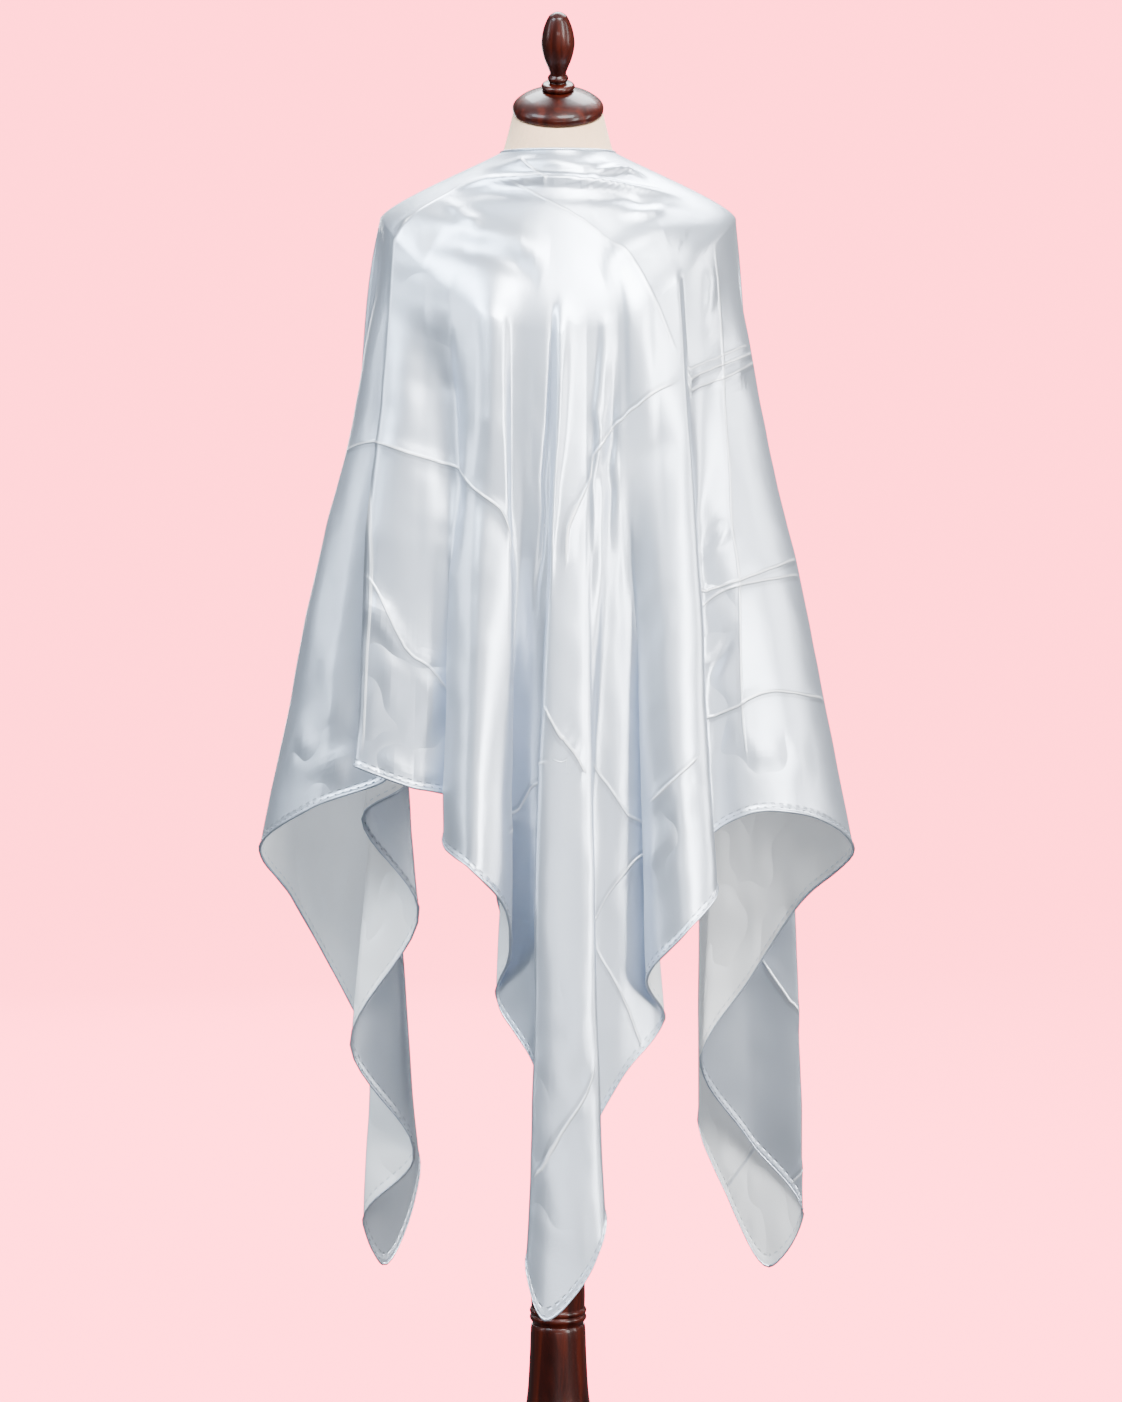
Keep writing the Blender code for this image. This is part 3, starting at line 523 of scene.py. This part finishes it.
# pressed creases, a thin ridge each; creases of one group keep 4 cm apart
Crease = namedtuple("Crease", "group first last strength points")
creases = [
    Crease(0, "foldEdgeLeft", "sideBackLeft", 1.0,
           [(-26.0, 124.8), (-24.2, 126.2), (-21.3, 126.8), (-17.6, 125.5), (-13.9, 124.5), (-11.8, 123.4),
            (-9.8, 121.3), (-6.9, 118.9), (-6.1, 117.2), (-3.9, 112.0)]),
    Crease(0, "sideReturnRight", "frontTip", 1.0,
           [(13.8, 133.8), (10.9, 132.4), (8.2, 130.0), (4.9, 126.1), (3.9, 122.7), (1.3, 117.2),
            (-0.6, 112.4)]),
    Crease(1, "sideReturnRight", "foldSideLeft", 0.35,
           [(-6.0, 157.3), (-1.5, 155.1), (2.2, 153.2), (4.4, 151.8), (6.6, 150.1), (8.8, 147.9),
            (11.1, 143.4), (13.5, 137.3)]),
    Crease(0, "frontTip", "foldSideLeft", 0.7, [(-4.7, 160.0), (-3.3, 158.6), (-1.5, 157.2)]),
    Crease(1, "sideEdgeRight", "foldSideRight", 0.7, [(13.9, 134.9), (16.7, 135.9), (22.1, 138.1)]),
    Crease(2, "sideEdgeRight", "foldSideRight", 1.0, [(14.0, 133.8), (19.4, 135.9), (22.8, 137.3)]),
    Crease(3, "sideEdgeRight", "foldSideRight", 0.8, [(14.1, 132.6), (19.2, 134.2), (23.1, 136.2)]),
    Crease(2, "sideEdgeRight", "foldSideRight", 1.0, [(15.5, 108.7), (21.2, 110.6), (27.9, 113.1)]),
    Crease(3, "sideEdgeRight", "foldSideRight", 0.8, [(15.5, 107.4), (20.9, 109.9), (28.2, 111.2)]),
    Crease(2, "sideEdgeRight", "foldSideRight", 1.1,
           [(16.6, 94.0), (21.2, 95.8), (21.9, 96.4), (25.4, 97.6), (31.4, 96.6)]),
    Crease(0, "sideEdgeRight", "foldSideRight", 0.6,
           [(18.2, 150.4), (18.8, 143.6), (19.2, 136.2), (19.6, 129.8), (20.1, 122.9), (20.4, 116.8),
            (21.2, 110.9), (21.6, 96.2), (22.4, 88.6)]),
    Crease(0, "frontSideRight", "frontEdgeLeft", 1.0,
           [(-1.3, 95.6), (0.0, 92.7), (2.2, 89.8), (3.1, 88.0)]),
    Crease(0, "frontReturnRight", "frontEdgeLeft", 1.0,
           [(4.4, 53.2), (3.3, 49.5), (0.9, 45.9), (-1.2, 42.2), (-2.9, 39.6)]),
    Crease(1, "foldEdgeRight", "foldReturnRight", 0.9, [(16.5, 89.8), (13.8, 87.2), (10.9, 84.4)]),
    Crease(0, "frontEdgeLeft", "foldEdgeLeft", 0.9, [(-1.4, 89.2), (-6.0, 80.7)]),
    Crease(1, "foldReturnRight", "frontReturnRight", 0.8, [(3.5, 90.0), (10.6, 79.4)]),
    Crease(2, "foldReturnRight", "frontReturnRight", 0.9, [(10.6, 79.4), (6.6, 74.5), (3.3, 69.8)]),
    Crease(1, "foldReturnRight", "frontReturnRight", 0.8, [(3.8, 68.0), (7.3, 62.1), (10.0, 55.1)]),
    Crease(1, "flapRoot", "flapEdge", 0.7, [(-21.9, 111.3), (-18.0, 102.7), (-15.1, 100.4), (-12.7, 97.4)]),
    Crease(0, "tailTipRight", "tailTurnRight", 0.9, [(24.1, 65.8), (29.1, 58.4)]),
    Crease(0, "tailFarRight", "tailTipRight", 0.9, [(18.5, 50.8), (16.9, 47.2)]),
    Crease(1, "tailFarRight", "tailTipRight", 0.9, [(23.3, 43.8), (19.8, 38.8)]),
    Crease(0, "tailTurnLeft", "cascade5", 0.9, [(-18.8, 66.5), (-16.7, 62.7)]),
    Crease(2, "flap", "sideFrontLeft", 1.0,
           [(-12.0, 156.1), (-14.5, 154.8), (-16.9, 153.4), (-18.1, 152.4), (-18.6, 148.9), (-18.8, 145.5),
            (-19.2, 140.9), (-19.7, 137.5), (-20.3, 132.9), (-20.8, 127.3), (-21.0, 121.3), (-21.4, 112.9),
            (-21.8, 106.9), (-22.3, 101.5), (-22.9, 92.6), (-23.2, 89.5)]),
]
creaseLook = {
    "groups": 4, "ends": 0.06,  # share of its length in which a crease fades
    "near": 0.010, "far": 0.020,  # metres beside it in which its marks fade
    "softWidth": 0.008, "softHeight": 0.0012,
}


def creaseFields(c):
    # for each group: signed distance and strength at every point; and the soft swelling beside the creases
    gaps = np.full((c["groups"],) + flat.shape[:2], 1.0)
    strengths = np.zeros_like(gaps)
    swelling = np.zeros(flat.shape[:2])
    for crease in creases:
        line = onCloth(crease.points, crease.first, crease.last)
        for side in (line, opposite(line)):
            gap, along = fromLine(side)
            strength = crease.strength * fadeEnds(along, c["ends"])
            strength = strength * np.clip((c["far"] - abs(gap)) / (c["far"] - c["near"]), 0, 1)
            closer = abs(gap) < abs(gaps[crease.group])
            gaps[crease.group] = np.where(closer, gap, gaps[crease.group])
            strengths[crease.group] = np.where(closer, strength, strengths[crease.group])
            swelling += c["softHeight"] * strength * np.exp(-(gap / c["softWidth"]) ** 2)
    return gaps, strengths, swelling


# slack in the silk: slow waves, kept small where the cloth lies on the form
slack = {
    "broad": 0.0016, "broadScale": 9.0, "fine": 0.0005, "fineScale": 26.0,
    "onForm": 0.15, "leaves": 0.95, "leavesOver": 0.4,  # the cloth leaves the form here, in rows down
}


def slackHeights(s):
    height = np.zeros(flat.shape[:2])
    for size, scale, shift in ((s["broad"], s["broadScale"], 0.0), (s["fine"], s["fineScale"], 7.0)):
        values = [noise.noise(Vector((a * scale, b * scale, shift))) for a, b in flat.reshape(-1, 2)]
        height += size * np.array(values).reshape(flat.shape[:2])
    return height * (s["onForm"] + (1 - s["onForm"]) * smoothStep((down - s["leaves"]) / s["leavesOver"]))


creaseGaps, creaseStrengths, swelling = creaseFields(creaseLook)
crumple = crumpleField()
height = foldHeights() + lipHeights() + swelling + slackHeights(slack)

# how far a fold may press in before it meets the form: at the neck and shoulders, on the chest, lower down
pressIn = {"tight": 0.0004, "chest": 0.005, "skirt": 0.02, "neckEnds": 0.5, "neckFades": 0.3}
tight = np.maximum(np.sin(angle) ** 2, smoothStep((pressIn["neckEnds"] - down) / pressIn["neckFades"]))
inward = np.where(down < 1, pressIn["chest"] + (pressIn["tight"] - pressIn["chest"]) * tight,
                  pressIn["skirt"])
cloth = grid + outward(grid) * np.maximum(height, -inward)[..., None]
normals = outward(cloth)
print("folds and creases placed")


def wall(name, columns, materials):
    # closed thin wall over these columns of the cloth; the outside takes the first material
    half = scarf["thickness"] / 2
    middle, across = cloth[:, columns], normals[:, columns]
    rows, count = middle.shape[:2]
    inner = rows * count
    corners = np.concatenate([(middle + side * across * half).reshape(-1, 3) for side in (1, -1)])
    # outside, inside turned over, and a strip round the rim
    j, i = np.meshgrid(np.arange(count - 1), np.arange(rows - 1))
    a = (i * count + j).ravel()
    outside = np.stack([a, a + 1, a + count + 1, a + count], 1)
    top, bottom = np.arange(count)[::-1], (rows - 1) * count + np.arange(count)
    right, left = np.arange(rows)[::-1] * count + count - 1, np.arange(rows) * count
    rim = np.concatenate([top[:-1], left[:-1], bottom[:-1], right[:-1]])
    after = np.roll(rim, -1)
    edge = np.stack([rim, after, inner + after, inner + rim], 1)
    faces = np.concatenate([outside, inner + outside[:, ::-1], edge])
    mesh = bpy.data.meshes.new(name)
    mesh.from_pydata(corners, [], faces.tolist())
    for material in materials:
        mesh.materials.append(material)
    inside = np.zeros(len(faces), np.int32)
    inside[len(outside):2 * len(outside)] = 1
    mesh.polygons.foreach_set("material_index", inside)
    places = np.tile(flat[:, columns].reshape(-1, 2), (2, 1)) / scarf["side"]
    corner = np.zeros(len(mesh.loops), np.int32)
    mesh.loops.foreach_get("vertex_index", corner)
    mesh.uv_layers.new(name="flat").uv.foreach_set("vector", places[corner].ravel())
    for k in range(creaseLook["groups"]):
        marks = (creaseGaps[k], creaseStrengths[k], crumple)
        values = np.stack([mark[:, columns].ravel() for mark in marks], 1)
        field = mesh.attributes.new("crease%d" % k, "FLOAT_VECTOR", "POINT")
        field.data.foreach_set("vector", np.tile(values, (2, 1)).ravel())
    mesh.shade_smooth()
    facing = np.concatenate([across.reshape(-1, 3), -across.reshape(-1, 3)])
    mesh.normals_split_custom_set_from_vertices(facing)
    item = bpy.data.objects.new(name, mesh)
    bpy.context.collection.objects.link(item)
    return item


satinLook = {
    "face": (0.64, 0.70, 0.80, 1), "shade": (0.57, 0.63, 0.73, 1),
    "back": (0.96, 0.98, 1.0, 1), "backShade": (0.90, 0.94, 0.99, 1),
    # painted highlight colour for the crease ridges, and painted shadow colour beside them
    "pressed": (0.97, 0.98, 1.0, 1), "shadow": (0.42, 0.46, 0.53, 1),
    "roughness": 0.35, "backRoughness": 0.38, "metallic": 0.82, "backMetallic": 0.22,
    "cloudScale": 7.0, "cloudRoughness": 0.12, "sheen": 0.1, "sheenRoughness": 0.4,
    # creases: a painted highlight on the ridge and a painted shadow beside it, in metres
    "ridge": 0.0015, "ridgeHeight": 0.0009, "shadowAt": 0.0042, "shadowWidth": 0.0026, "shadowDepth": 0.9,
    "ridgePale": 0.6, "ridgeDull": 0.35,
    "crumple": 0.022, "crumpleScale": 24.0, "slack": 0.0015, "backSlack": 0.0042, "slackScale": 22.0,
    # the inside's glow is painted light: an even emission standing in for light through the silk
    "backLoose": 0.45, "backGlow": 0.11,
    "threads": 1400.0, "threadHeight": 0.00002,
    # rolled hem and the row of stitches above it, in metres
    "rollWidth": 0.0062, "rollHeight": 0.0016, "sewn": (0.20, 0.22, 0.27, 1), "sewnDark": 0.35,
    "stitchAt": 0.0085, "stitchWidth": 0.0010, "stitchEvery": 0.0125, "stitchDepth": 0.0005,
    "stitchCut": -0.1,
}


def satin(name, look, base, shade, roughness, metallic, slack, loose=0.0, glow=0.0):
    # loose: crumpled all over. glow: painted light, an even emission standing in for what shines through the
    # thin silk
    g = Graph(name)
    uv = g.add("ShaderNodeUVMap", {"uv_map": "flat"})
    cloudy = g.add("ShaderNodeTexNoise", {}, Vector=uv, Scale=look["cloudScale"], Detail=3.0, Roughness=0.55)
    ridges = shadows = None
    for k in range(creaseLook["groups"]):
        field = g.add("ShaderNodeAttribute", {"attribute_name": "crease%d" % k}, out=1)
        gap, strength, crumpled = g.parts(field)
        ridge = strength * (gap / look["ridge"]).hump()
        shadow = strength * ((gap - look["shadowAt"]) / look["shadowWidth"]).hump()
        ridges = ridge if ridges is None else ridges + ridge
        shadows = shadow if shadows is None else shadows + shadow
    facets = g.add("ShaderNodeTexNoise", {}, Vector=uv, Scale=look["crumpleScale"], Detail=1.0, Roughness=0.3)
    folded = abs(facets - 0.5) * look["crumple"] * (crumpled + loose)
    slackened = g.add("ShaderNodeTexNoise", {}, Vector=uv, Scale=look["slackScale"], Detail=1.0) * slack
    across, along, _ = g.parts(uv)
    # distance from the nearest of the four edges, and how far along it
    fromA = g.maths("MINIMUM", across, 1 - across) * scarf["side"]
    fromB = g.maths("MINIMUM", along, 1 - along) * scarf["side"]
    edge = g.maths("MINIMUM", fromA, fromB)
    nearA = g.maths("LESS_THAN", fromA, fromB)
    run = (along * nearA + across * (1 - nearA)) * scarf["side"]
    wave = g.maths("SINE", run * (2 * math.pi / look["stitchEvery"]))
    dashes = g.maths("GREATER_THAN", wave, look["stitchCut"])
    sewn = dashes * ((edge - look["stitchAt"]) / look["stitchWidth"]).hump()
    rolled = (edge / look["rollWidth"]).hump()
    twill = g.maths("SINE", (across + along * 0.5) * (look["threads"] * 2 * math.pi))
    height = (ridges * look["ridgeHeight"] + folded + slackened + twill * look["threadHeight"]
              + rolled * look["rollHeight"] - sewn * look["stitchDepth"])
    bump = g.add("ShaderNodeBump", {}, Strength=1.0, Distance=1.0, Height=height)
    ridges = g.maths("MINIMUM", ridges, 1.0)
    shadows = g.maths("MINIMUM", shadows * look["shadowDepth"], look["shadowDepth"])
    # painted shadow beside each crease
    color = g.mix(shadows, g.mix(cloudy, base, shade), look["shadow"])
    color = g.mix(sewn * look["sewnDark"], color, look["sewn"])
    # painted highlight: the crease ridges are mixed towards a near-white colour
    return g.finish({"Base Color": g.mix(ridges * look["ridgePale"], color, look["pressed"]),
                     "Roughness": roughness + (cloudy - 0.5) * look["cloudRoughness"],
                     "Metallic": metallic * (1 - ridges * look["ridgeDull"]),
                     "Normal": bump, "Sheen Weight": look["sheen"], "Sheen Roughness": look["sheenRoughness"],
                     # emission: painted light on the inside of the cloth
                     "Emission Color": base, "Emission Strength": glow})


satinFace = satin("white satin", satinLook, satinLook["face"], satinLook["shade"],
                  satinLook["roughness"], satinLook["metallic"], satinLook["slack"])
satinBack = satin("white satin back", satinLook, satinLook["back"], satinLook["backShade"],
                  satinLook["backRoughness"], satinLook["backMetallic"], satinLook["backSlack"],
                  satinLook["backLoose"], satinLook["backGlow"])

nodes = list(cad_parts)
frontNodes = [n for n in nodes if n.startswith("scarf_") and "back" not in n]
backNodes = [n for n in nodes if n.startswith("scarf_") and "back" in n]
halves = []
for name, first, last, replaced, area in (
        ("scarfFrontHalf", "tailTipRight", "tailTipLeft", frontNodes, 1.5),
        ("scarfBackHalf", "tailTipLeft", "tailTipRight", backNodes, 1.2)):
    half = wall(name, columnsBetween(first, last), (satinFace, satinBack))
    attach(half, "root")
    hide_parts(*replaced)
    halves.append((half, area, first, last))
    print(name, len(half.data.polygons) * 2, "triangles")


hem = {
    "radius": 0.0020, "sides": 8, "ripple": 0.10, "rippleTurn": 1.7,  # radians of ripple for each column
    "stitch": 0.0050, "every": 0.0095, "thread": 0.0014, "above": 0.0040,
}


def bandMesh(name, corners, faces, material):
    mesh = bpy.data.meshes.new(name)
    mesh.from_pydata(corners, [], faces)
    mesh.materials.append(material)
    mesh.shade_smooth()
    item = bpy.data.objects.new(name, mesh)
    bpy.context.collection.objects.link(item)
    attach(item, "root")
    return item


def rolledEdge(name, first, last, row, h, material):
    columns = columnsBetween(first, last)
    edge, across = cloth[row, columns], normals[row, columns]
    falling = unit(edge - cloth[row - 1 if row else 1, columns]) * (1 if row else -1)
    count, sides = len(columns), h["sides"]
    rings = []
    for k in range(sides):
        a = 2 * math.pi * k / sides
        size = h["radius"] * (1 + h["ripple"] * np.sin(np.arange(count) * h["rippleTurn"]))[:, None]
        rings.append(edge + (across * math.cos(a) + falling * math.sin(a)) * size)
    corners = np.stack(rings, 1).reshape(-1, 3)
    faces = [(j * sides + k, j * sides + (k + 1) % sides,
              (j + 1) * sides + (k + 1) % sides, (j + 1) * sides + k)
             for j in range(count - 1) for k in range(sides)]
    faces += [tuple(range(sides))[::-1], tuple((count - 1) * sides + k for k in range(sides))]
    return bandMesh(name, corners, faces, material)


def hemStitches(name, first, last, h, material):
    columns = columnsBetween(first, last)
    above = cloth[-1, columns] - unit(cloth[-1, columns] - cloth[-2, columns]) * h["above"]
    across = normals[-1, columns]
    gone = np.concatenate([[0], np.cumsum(np.linalg.norm(np.diff(above, axis=0), axis=1))])
    starts = np.arange(h["every"] / 2, gone[-1] - h["every"], h["every"])

    def at(values, places):
        return np.stack([np.interp(places, gone, values[:, k]) for k in range(3)], 1)

    corners, faces = [], []
    head, foot = at(above, starts), at(above, starts + h["stitch"])
    out = unit(at(across, starts + h["stitch"] / 2))
    aside = unit(np.cross(unit(foot - head), out))
    lift, t = scarf["thickness"] / 2, h["thread"]
    for a, b, o, s in zip(head, foot, out, aside):
        # a stitch runs from end to end in the cloth, through a ring of four corners round its middle
        start = len(corners)
        mid = (a + b) / 2 + o * (lift + t)
        low = mid - o * t * 0.4
        corners += [a + o * lift * 0.6, b + o * lift * 0.6,
                    mid + s * t * 0.1, low + s * t / 2, low - s * t / 2, mid - o * (t * 1.1 + lift * 0.4)]
        ring = (2, 3, 5, 4)
        for k in range(4):
            p, q = start + ring[k], start + ring[(k + 1) % 4]
            faces += [(start, q, p), (start + 1, p, q)]
    return bandMesh(name, corners, faces, material)


threadLook = Graph("hem thread").finish({"Base Color": (0.30, 0.33, 0.39, 1), "Roughness": 0.6})
for half, area, first, last in halves:
    side = half.name.replace("scarf", "").replace("Half", "")
    roll = rolledEdge("hem" + side, first, last, -1, hem, satinFace)
    neckline = rolledEdge("neckline" + side, first, last, 0, hem, satinFace)
    stitches = hemStitches("hemStitches" + side, first, last, hem, threadLook)
print("hem and stitches")


# the torso keeps its solid's shape and takes linen; the turned parts are made rounder
linenLook = {
    "base": (0.97, 0.66, 0.42, 1), "slub": (0.88, 0.56, 0.33, 1), "slubScale": 220.0,
    "threads": 900.0, "height": 0.0003, "roughness": 0.92, "sheen": 0.2,
}
woodLook = {
    "dark": (0.008, 0.0007, 0.0002), "middle": (0.022, 0.0020, 0.0006), "light": (0.060, 0.0065, 0.0015),
    "darkAt": 0.30, "middleAt": 0.5, "lightAt": 0.72,
    "grain": (60.0, 60.0, 6.0), "grainHeight": 0.0002, "roughness": 0.34, "grainRoughness": 0.08,
    "specular": 0.2, "lacquer": 0.15, "lacquerRoughness": 0.10,
}


def linen(look):
    g = Graph("cream linen")
    place = g.add("ShaderNodeTexCoord", {}, out=3)
    across, _, up = g.parts(place)
    threads = look["threads"] * 2 * math.pi
    weave = g.maths("SINE", across * threads) * 0.5 + g.maths("SINE", up * threads) * 0.5
    slub = g.add("ShaderNodeTexNoise", {}, Vector=place, Scale=look["slubScale"], Detail=2.0)
    bump = g.add("ShaderNodeBump", {}, Height=(weave + slub) * look["height"], Strength=0.8, Distance=1.0)
    return g.finish({"Base Color": g.mix(slub, look["base"], look["slub"]), "Normal": bump,
                     "Roughness": look["roughness"], "Sheen Weight": look["sheen"]})


def wood(look):
    g = Graph("mahogany")
    place = g.add("ShaderNodeTexCoord", {}, out=3)
    long = g.add("ShaderNodeMapping", {}, place, Scale=look["grain"])
    grain = g.add("ShaderNodeTexNoise", {}, Vector=long, Scale=1.0, Detail=6.0, Roughness=0.6, Distortion=0.6)
    stops = [(look[tone + "At"], look[tone]) for tone in ("dark", "light", "middle")]
    tone = g.add("ShaderNodeValToRGB", {"stops": stops}, grain)
    bump = g.add("ShaderNodeBump", {}, Height=grain * look["grainHeight"], Strength=0.3, Distance=1.0)
    return g.finish({"Base Color": tone, "Roughness": look["roughness"] + grain * look["grainRoughness"],
                     "Normal": bump, "Specular IOR Level": look["specular"],
                     "Coat Weight": look["lacquer"], "Coat Roughness": look["lacquerRoughness"]})


# turned profiles, radius and height in cm; a place given twice keeps its edge sharp
turned = {
    "form_finial": [
        (0.0, 12.06), (0.35, 12.03), (0.80, 11.78), (1.15, 11.40), (1.65, 10.20), (1.92, 8.80), (1.88, 7.80),
        (1.60, 6.60), (1.20, 5.60), (0.98, 5.00), (0.95, 4.70), (0.95, 4.70), (1.18, 4.40), (1.18, 4.10),
        (0.95, 3.85), (0.95, 3.85), (1.05, 3.75), (1.65, 3.65), (1.94, 3.35), (1.85, 3.00), (1.50, 2.86),
        (1.50, 2.86), (0.0, 2.86)],
    "form_neck_cap": [
        (0.0, 2.82), (1.90, 2.82), (1.90, 2.82), (2.80, 2.55), (4.00, 2.05), (4.90, 1.42), (5.25, 0.95),
        (5.30, 0.55), (5.20, 0.15), (4.95, 0.0), (4.95, 0.0), (0.0, 0.0)],
    "form_post": [
        (0.0, 91.97), (2.20, 91.97), (2.20, 91.97), (2.20, 60.0), (2.60, 40.0), (3.05, 30.0), (3.20, 26.2),
        (3.18, 24.3), (3.18, 24.3), (3.33, 24.1), (3.38, 23.9), (3.33, 23.7), (3.18, 23.5), (3.18, 23.5),
        (3.33, 23.3), (3.38, 23.1), (3.33, 22.9), (3.18, 22.7), (3.18, 22.7), (3.02, 22.3), (3.25, 21.8),
        (3.40, 18.0), (3.75, 13.1), (4.60, 10.0), (6.00, 8.2), (6.20, 7.8), (6.20, 7.8), (0.0, 7.8)],
    "form_base": [
        (0.0, 7.77), (7.20, 7.77), (7.20, 7.77), (10.5, 6.90), (14.5, 5.40), (17.4, 3.80), (18.4, 2.60),
        (18.5, 1.20), (18.1, 0.40), (17.6, 0.0), (17.6, 0.0), (0.0, 0.0)],
}
stand = {
    "sides": 96, "steps": 4, "pinhole": 0.00005, "sharp": math.radians(40),
    "plateForward": 0.012, "plateHeight": 1.6483, "lean": math.radians(26),
}


def turnedMesh(name, points, material, s):
    runs, start = [], 0
    for k in range(1, len(points) + 1):
        if k == len(points) or points[k] == points[k - 1]:
            runs.append(smoothLine(points[start:k], s["steps"] if k - start > 2 else 1))
            start = k
    profile = np.vstack(runs) * cm
    profile[:, 0] = np.maximum(profile[:, 0], s["pinhole"])
    n = s["sides"]
    around = np.arange(n) * 2 * math.pi / n
    corners = [(r * math.cos(a), r * math.sin(a), z) for r, z in profile for a in around]
    faces = [(i * n + k, (i + 1) * n + k, (i + 1) * n + (k + 1) % n, i * n + (k + 1) % n)
             for i in range(len(profile) - 1) for k in range(n)]
    faces += [tuple(range(n)), tuple(range((len(profile) - 1) * n, len(profile) * n))[::-1]]
    mesh = bpy.data.meshes.new(name)
    mesh.from_pydata(corners, [], faces)
    mesh.materials.append(material)
    mesh.validate()
    mesh.shade_smooth()
    mesh.set_sharp_from_angle(angle=s["sharp"])
    item = bpy.data.objects.new(name, mesh)
    bpy.context.collection.objects.link(item)
    return item


mahogany = wood(woodLook)
for name, points in turned.items():
    item = turnedMesh(name.replace("form_", "turned_"), points, mahogany, stand)
    if name in ("form_finial", "form_neck_cap"):
        item.rotation_euler = (stand["lean"], 0, 0)
        item.location = (0, -stand["plateForward"], stand["plateHeight"])
    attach(item, "root")
    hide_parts(name)
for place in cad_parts["form_torso"].material_slots:
    place.material = linen(linenLook)
print("form and stand")


camera = {
    "place": (0.0035, -eye["distance"], eye["height"]), "aim": (0.0035, 0.0, 0.9639),
    "lens": 83.0, "sensor": 36.0,
}


def addCamera(c):
    data = bpy.data.cameras.new("camera")
    data.lens, data.sensor_width = c["lens"], c["sensor"]
    item = bpy.data.objects.new("camera", data)
    bpy.context.collection.objects.link(item)
    item.location = c["place"]
    item.rotation_euler = (Vector(c["aim"]) - Vector(c["place"])).to_track_quat("-Z", "Y").to_euler()
    bpy.context.scene.camera = item


studio = {
    "floorRadius": 6.5, "wallRadius": 8.5, "wallHeight": 9.0, "bendSteps": 12, "sides": 96,
    "pale": (0.35, 0.05, 0.08, 1.0), "glow": (1.0, 0.115, 0.185, 1.0), "glowStrength": 9.0,
    "world": (0.86, 0.91, 0.98, 1.0), "worldStrength": 0.18,
    "aim": (0.0, 0.0, 1.1),
}
Lamp = namedtuple("Lamp", "name place width height watts color")
lamps = [
    Lamp("key softbox", (1.0, -2.9, 4.0), 2.0, 1.3, 430, (1.0, 0.995, 0.98)),
    Lamp("top left softbox", (-2.2, -2.0, 3.6), 1.6, 1.4, 215, (0.78, 0.89, 1.0)),
    Lamp("left softbox", (-4.0, -1.0, 2.3), 0.7, 2.2, 62, (0.84, 0.92, 1.0)),
    Lamp("right front softbox", (2.9, -3.2, 1.7), 0.9, 2.4, 235, (1.0, 0.985, 0.96)),
    Lamp("front softbox", (0.3, -5.4, 0.5), 2.4, 0.6, 60, (0.97, 0.985, 1.0)),
    Lamp("right softbox", (3.8, -0.8, 1.8), 0.6, 2.4, 90, (1.0, 0.97, 0.94)),
    Lamp("back top softbox", (0.2, 1.4, 4.2), 2.8, 1.6, 520, (0.93, 0.965, 1.0)),
    Lamp("back softbox", (-0.8, 4.2, 1.6), 2.2, 1.8, 130, (0.97, 0.98, 1.0)),
]


def addStudio(s):
    # a round cove lit evenly on its own, kept out of the silk's light and reflections
    bend = s["wallRadius"] - s["floorRadius"]
    profile = [(0.0, 0.0), (s["floorRadius"], 0.0)]
    for k in range(1, s["bendSteps"] + 1):
        turn = math.pi / 2 * k / s["bendSteps"]
        profile.append((s["floorRadius"] + bend * math.sin(turn), bend * (1 - math.cos(turn))))
    profile.append((s["wallRadius"], s["wallHeight"]))
    mesh = bpy.data.meshes.new("backdrop")
    mesh.from_pydata([(x, 0.0, z) for x, z in profile], [(k, k + 1) for k in range(len(profile) - 1)], [])
    item = bpy.data.objects.new("backdrop", mesh)
    bpy.context.collection.objects.link(item)
    screw = item.modifiers.new("round", "SCREW")
    screw.steps = screw.render_steps = s["sides"]
    screw.use_merge_vertices, screw.merge_threshold = True, 0.0001
    mesh.materials.append(Graph("backdrop").finish({"Base Color": s["pale"], "Roughness": 0.9,
                                                    "Emission Color": s["glow"],
                                                    "Emission Strength": s["glowStrength"]}))
    item.visible_diffuse = item.visible_glossy = False
    world = bpy.data.worlds.new("studio")
    world.use_nodes = True
    inputs = world.node_tree.nodes["Background"].inputs
    inputs["Color"].default_value, inputs["Strength"].default_value = s["world"], s["worldStrength"]
    bpy.context.scene.world = world
    for lamp in lamps:
        data = bpy.data.lights.new(lamp.name, "AREA")
        data.shape, data.size, data.size_y = "RECTANGLE", lamp.width, lamp.height
        data.energy, data.color = lamp.watts, lamp.color
        item = bpy.data.objects.new(lamp.name, data)
        bpy.context.collection.objects.link(item)
        item.location = lamp.place
        item.rotation_euler = (Vector(s["aim"]) - Vector(lamp.place)).to_track_quat("-Z", "Y").to_euler()


addCamera(camera)
addStudio(studio)
print("camera and studio")
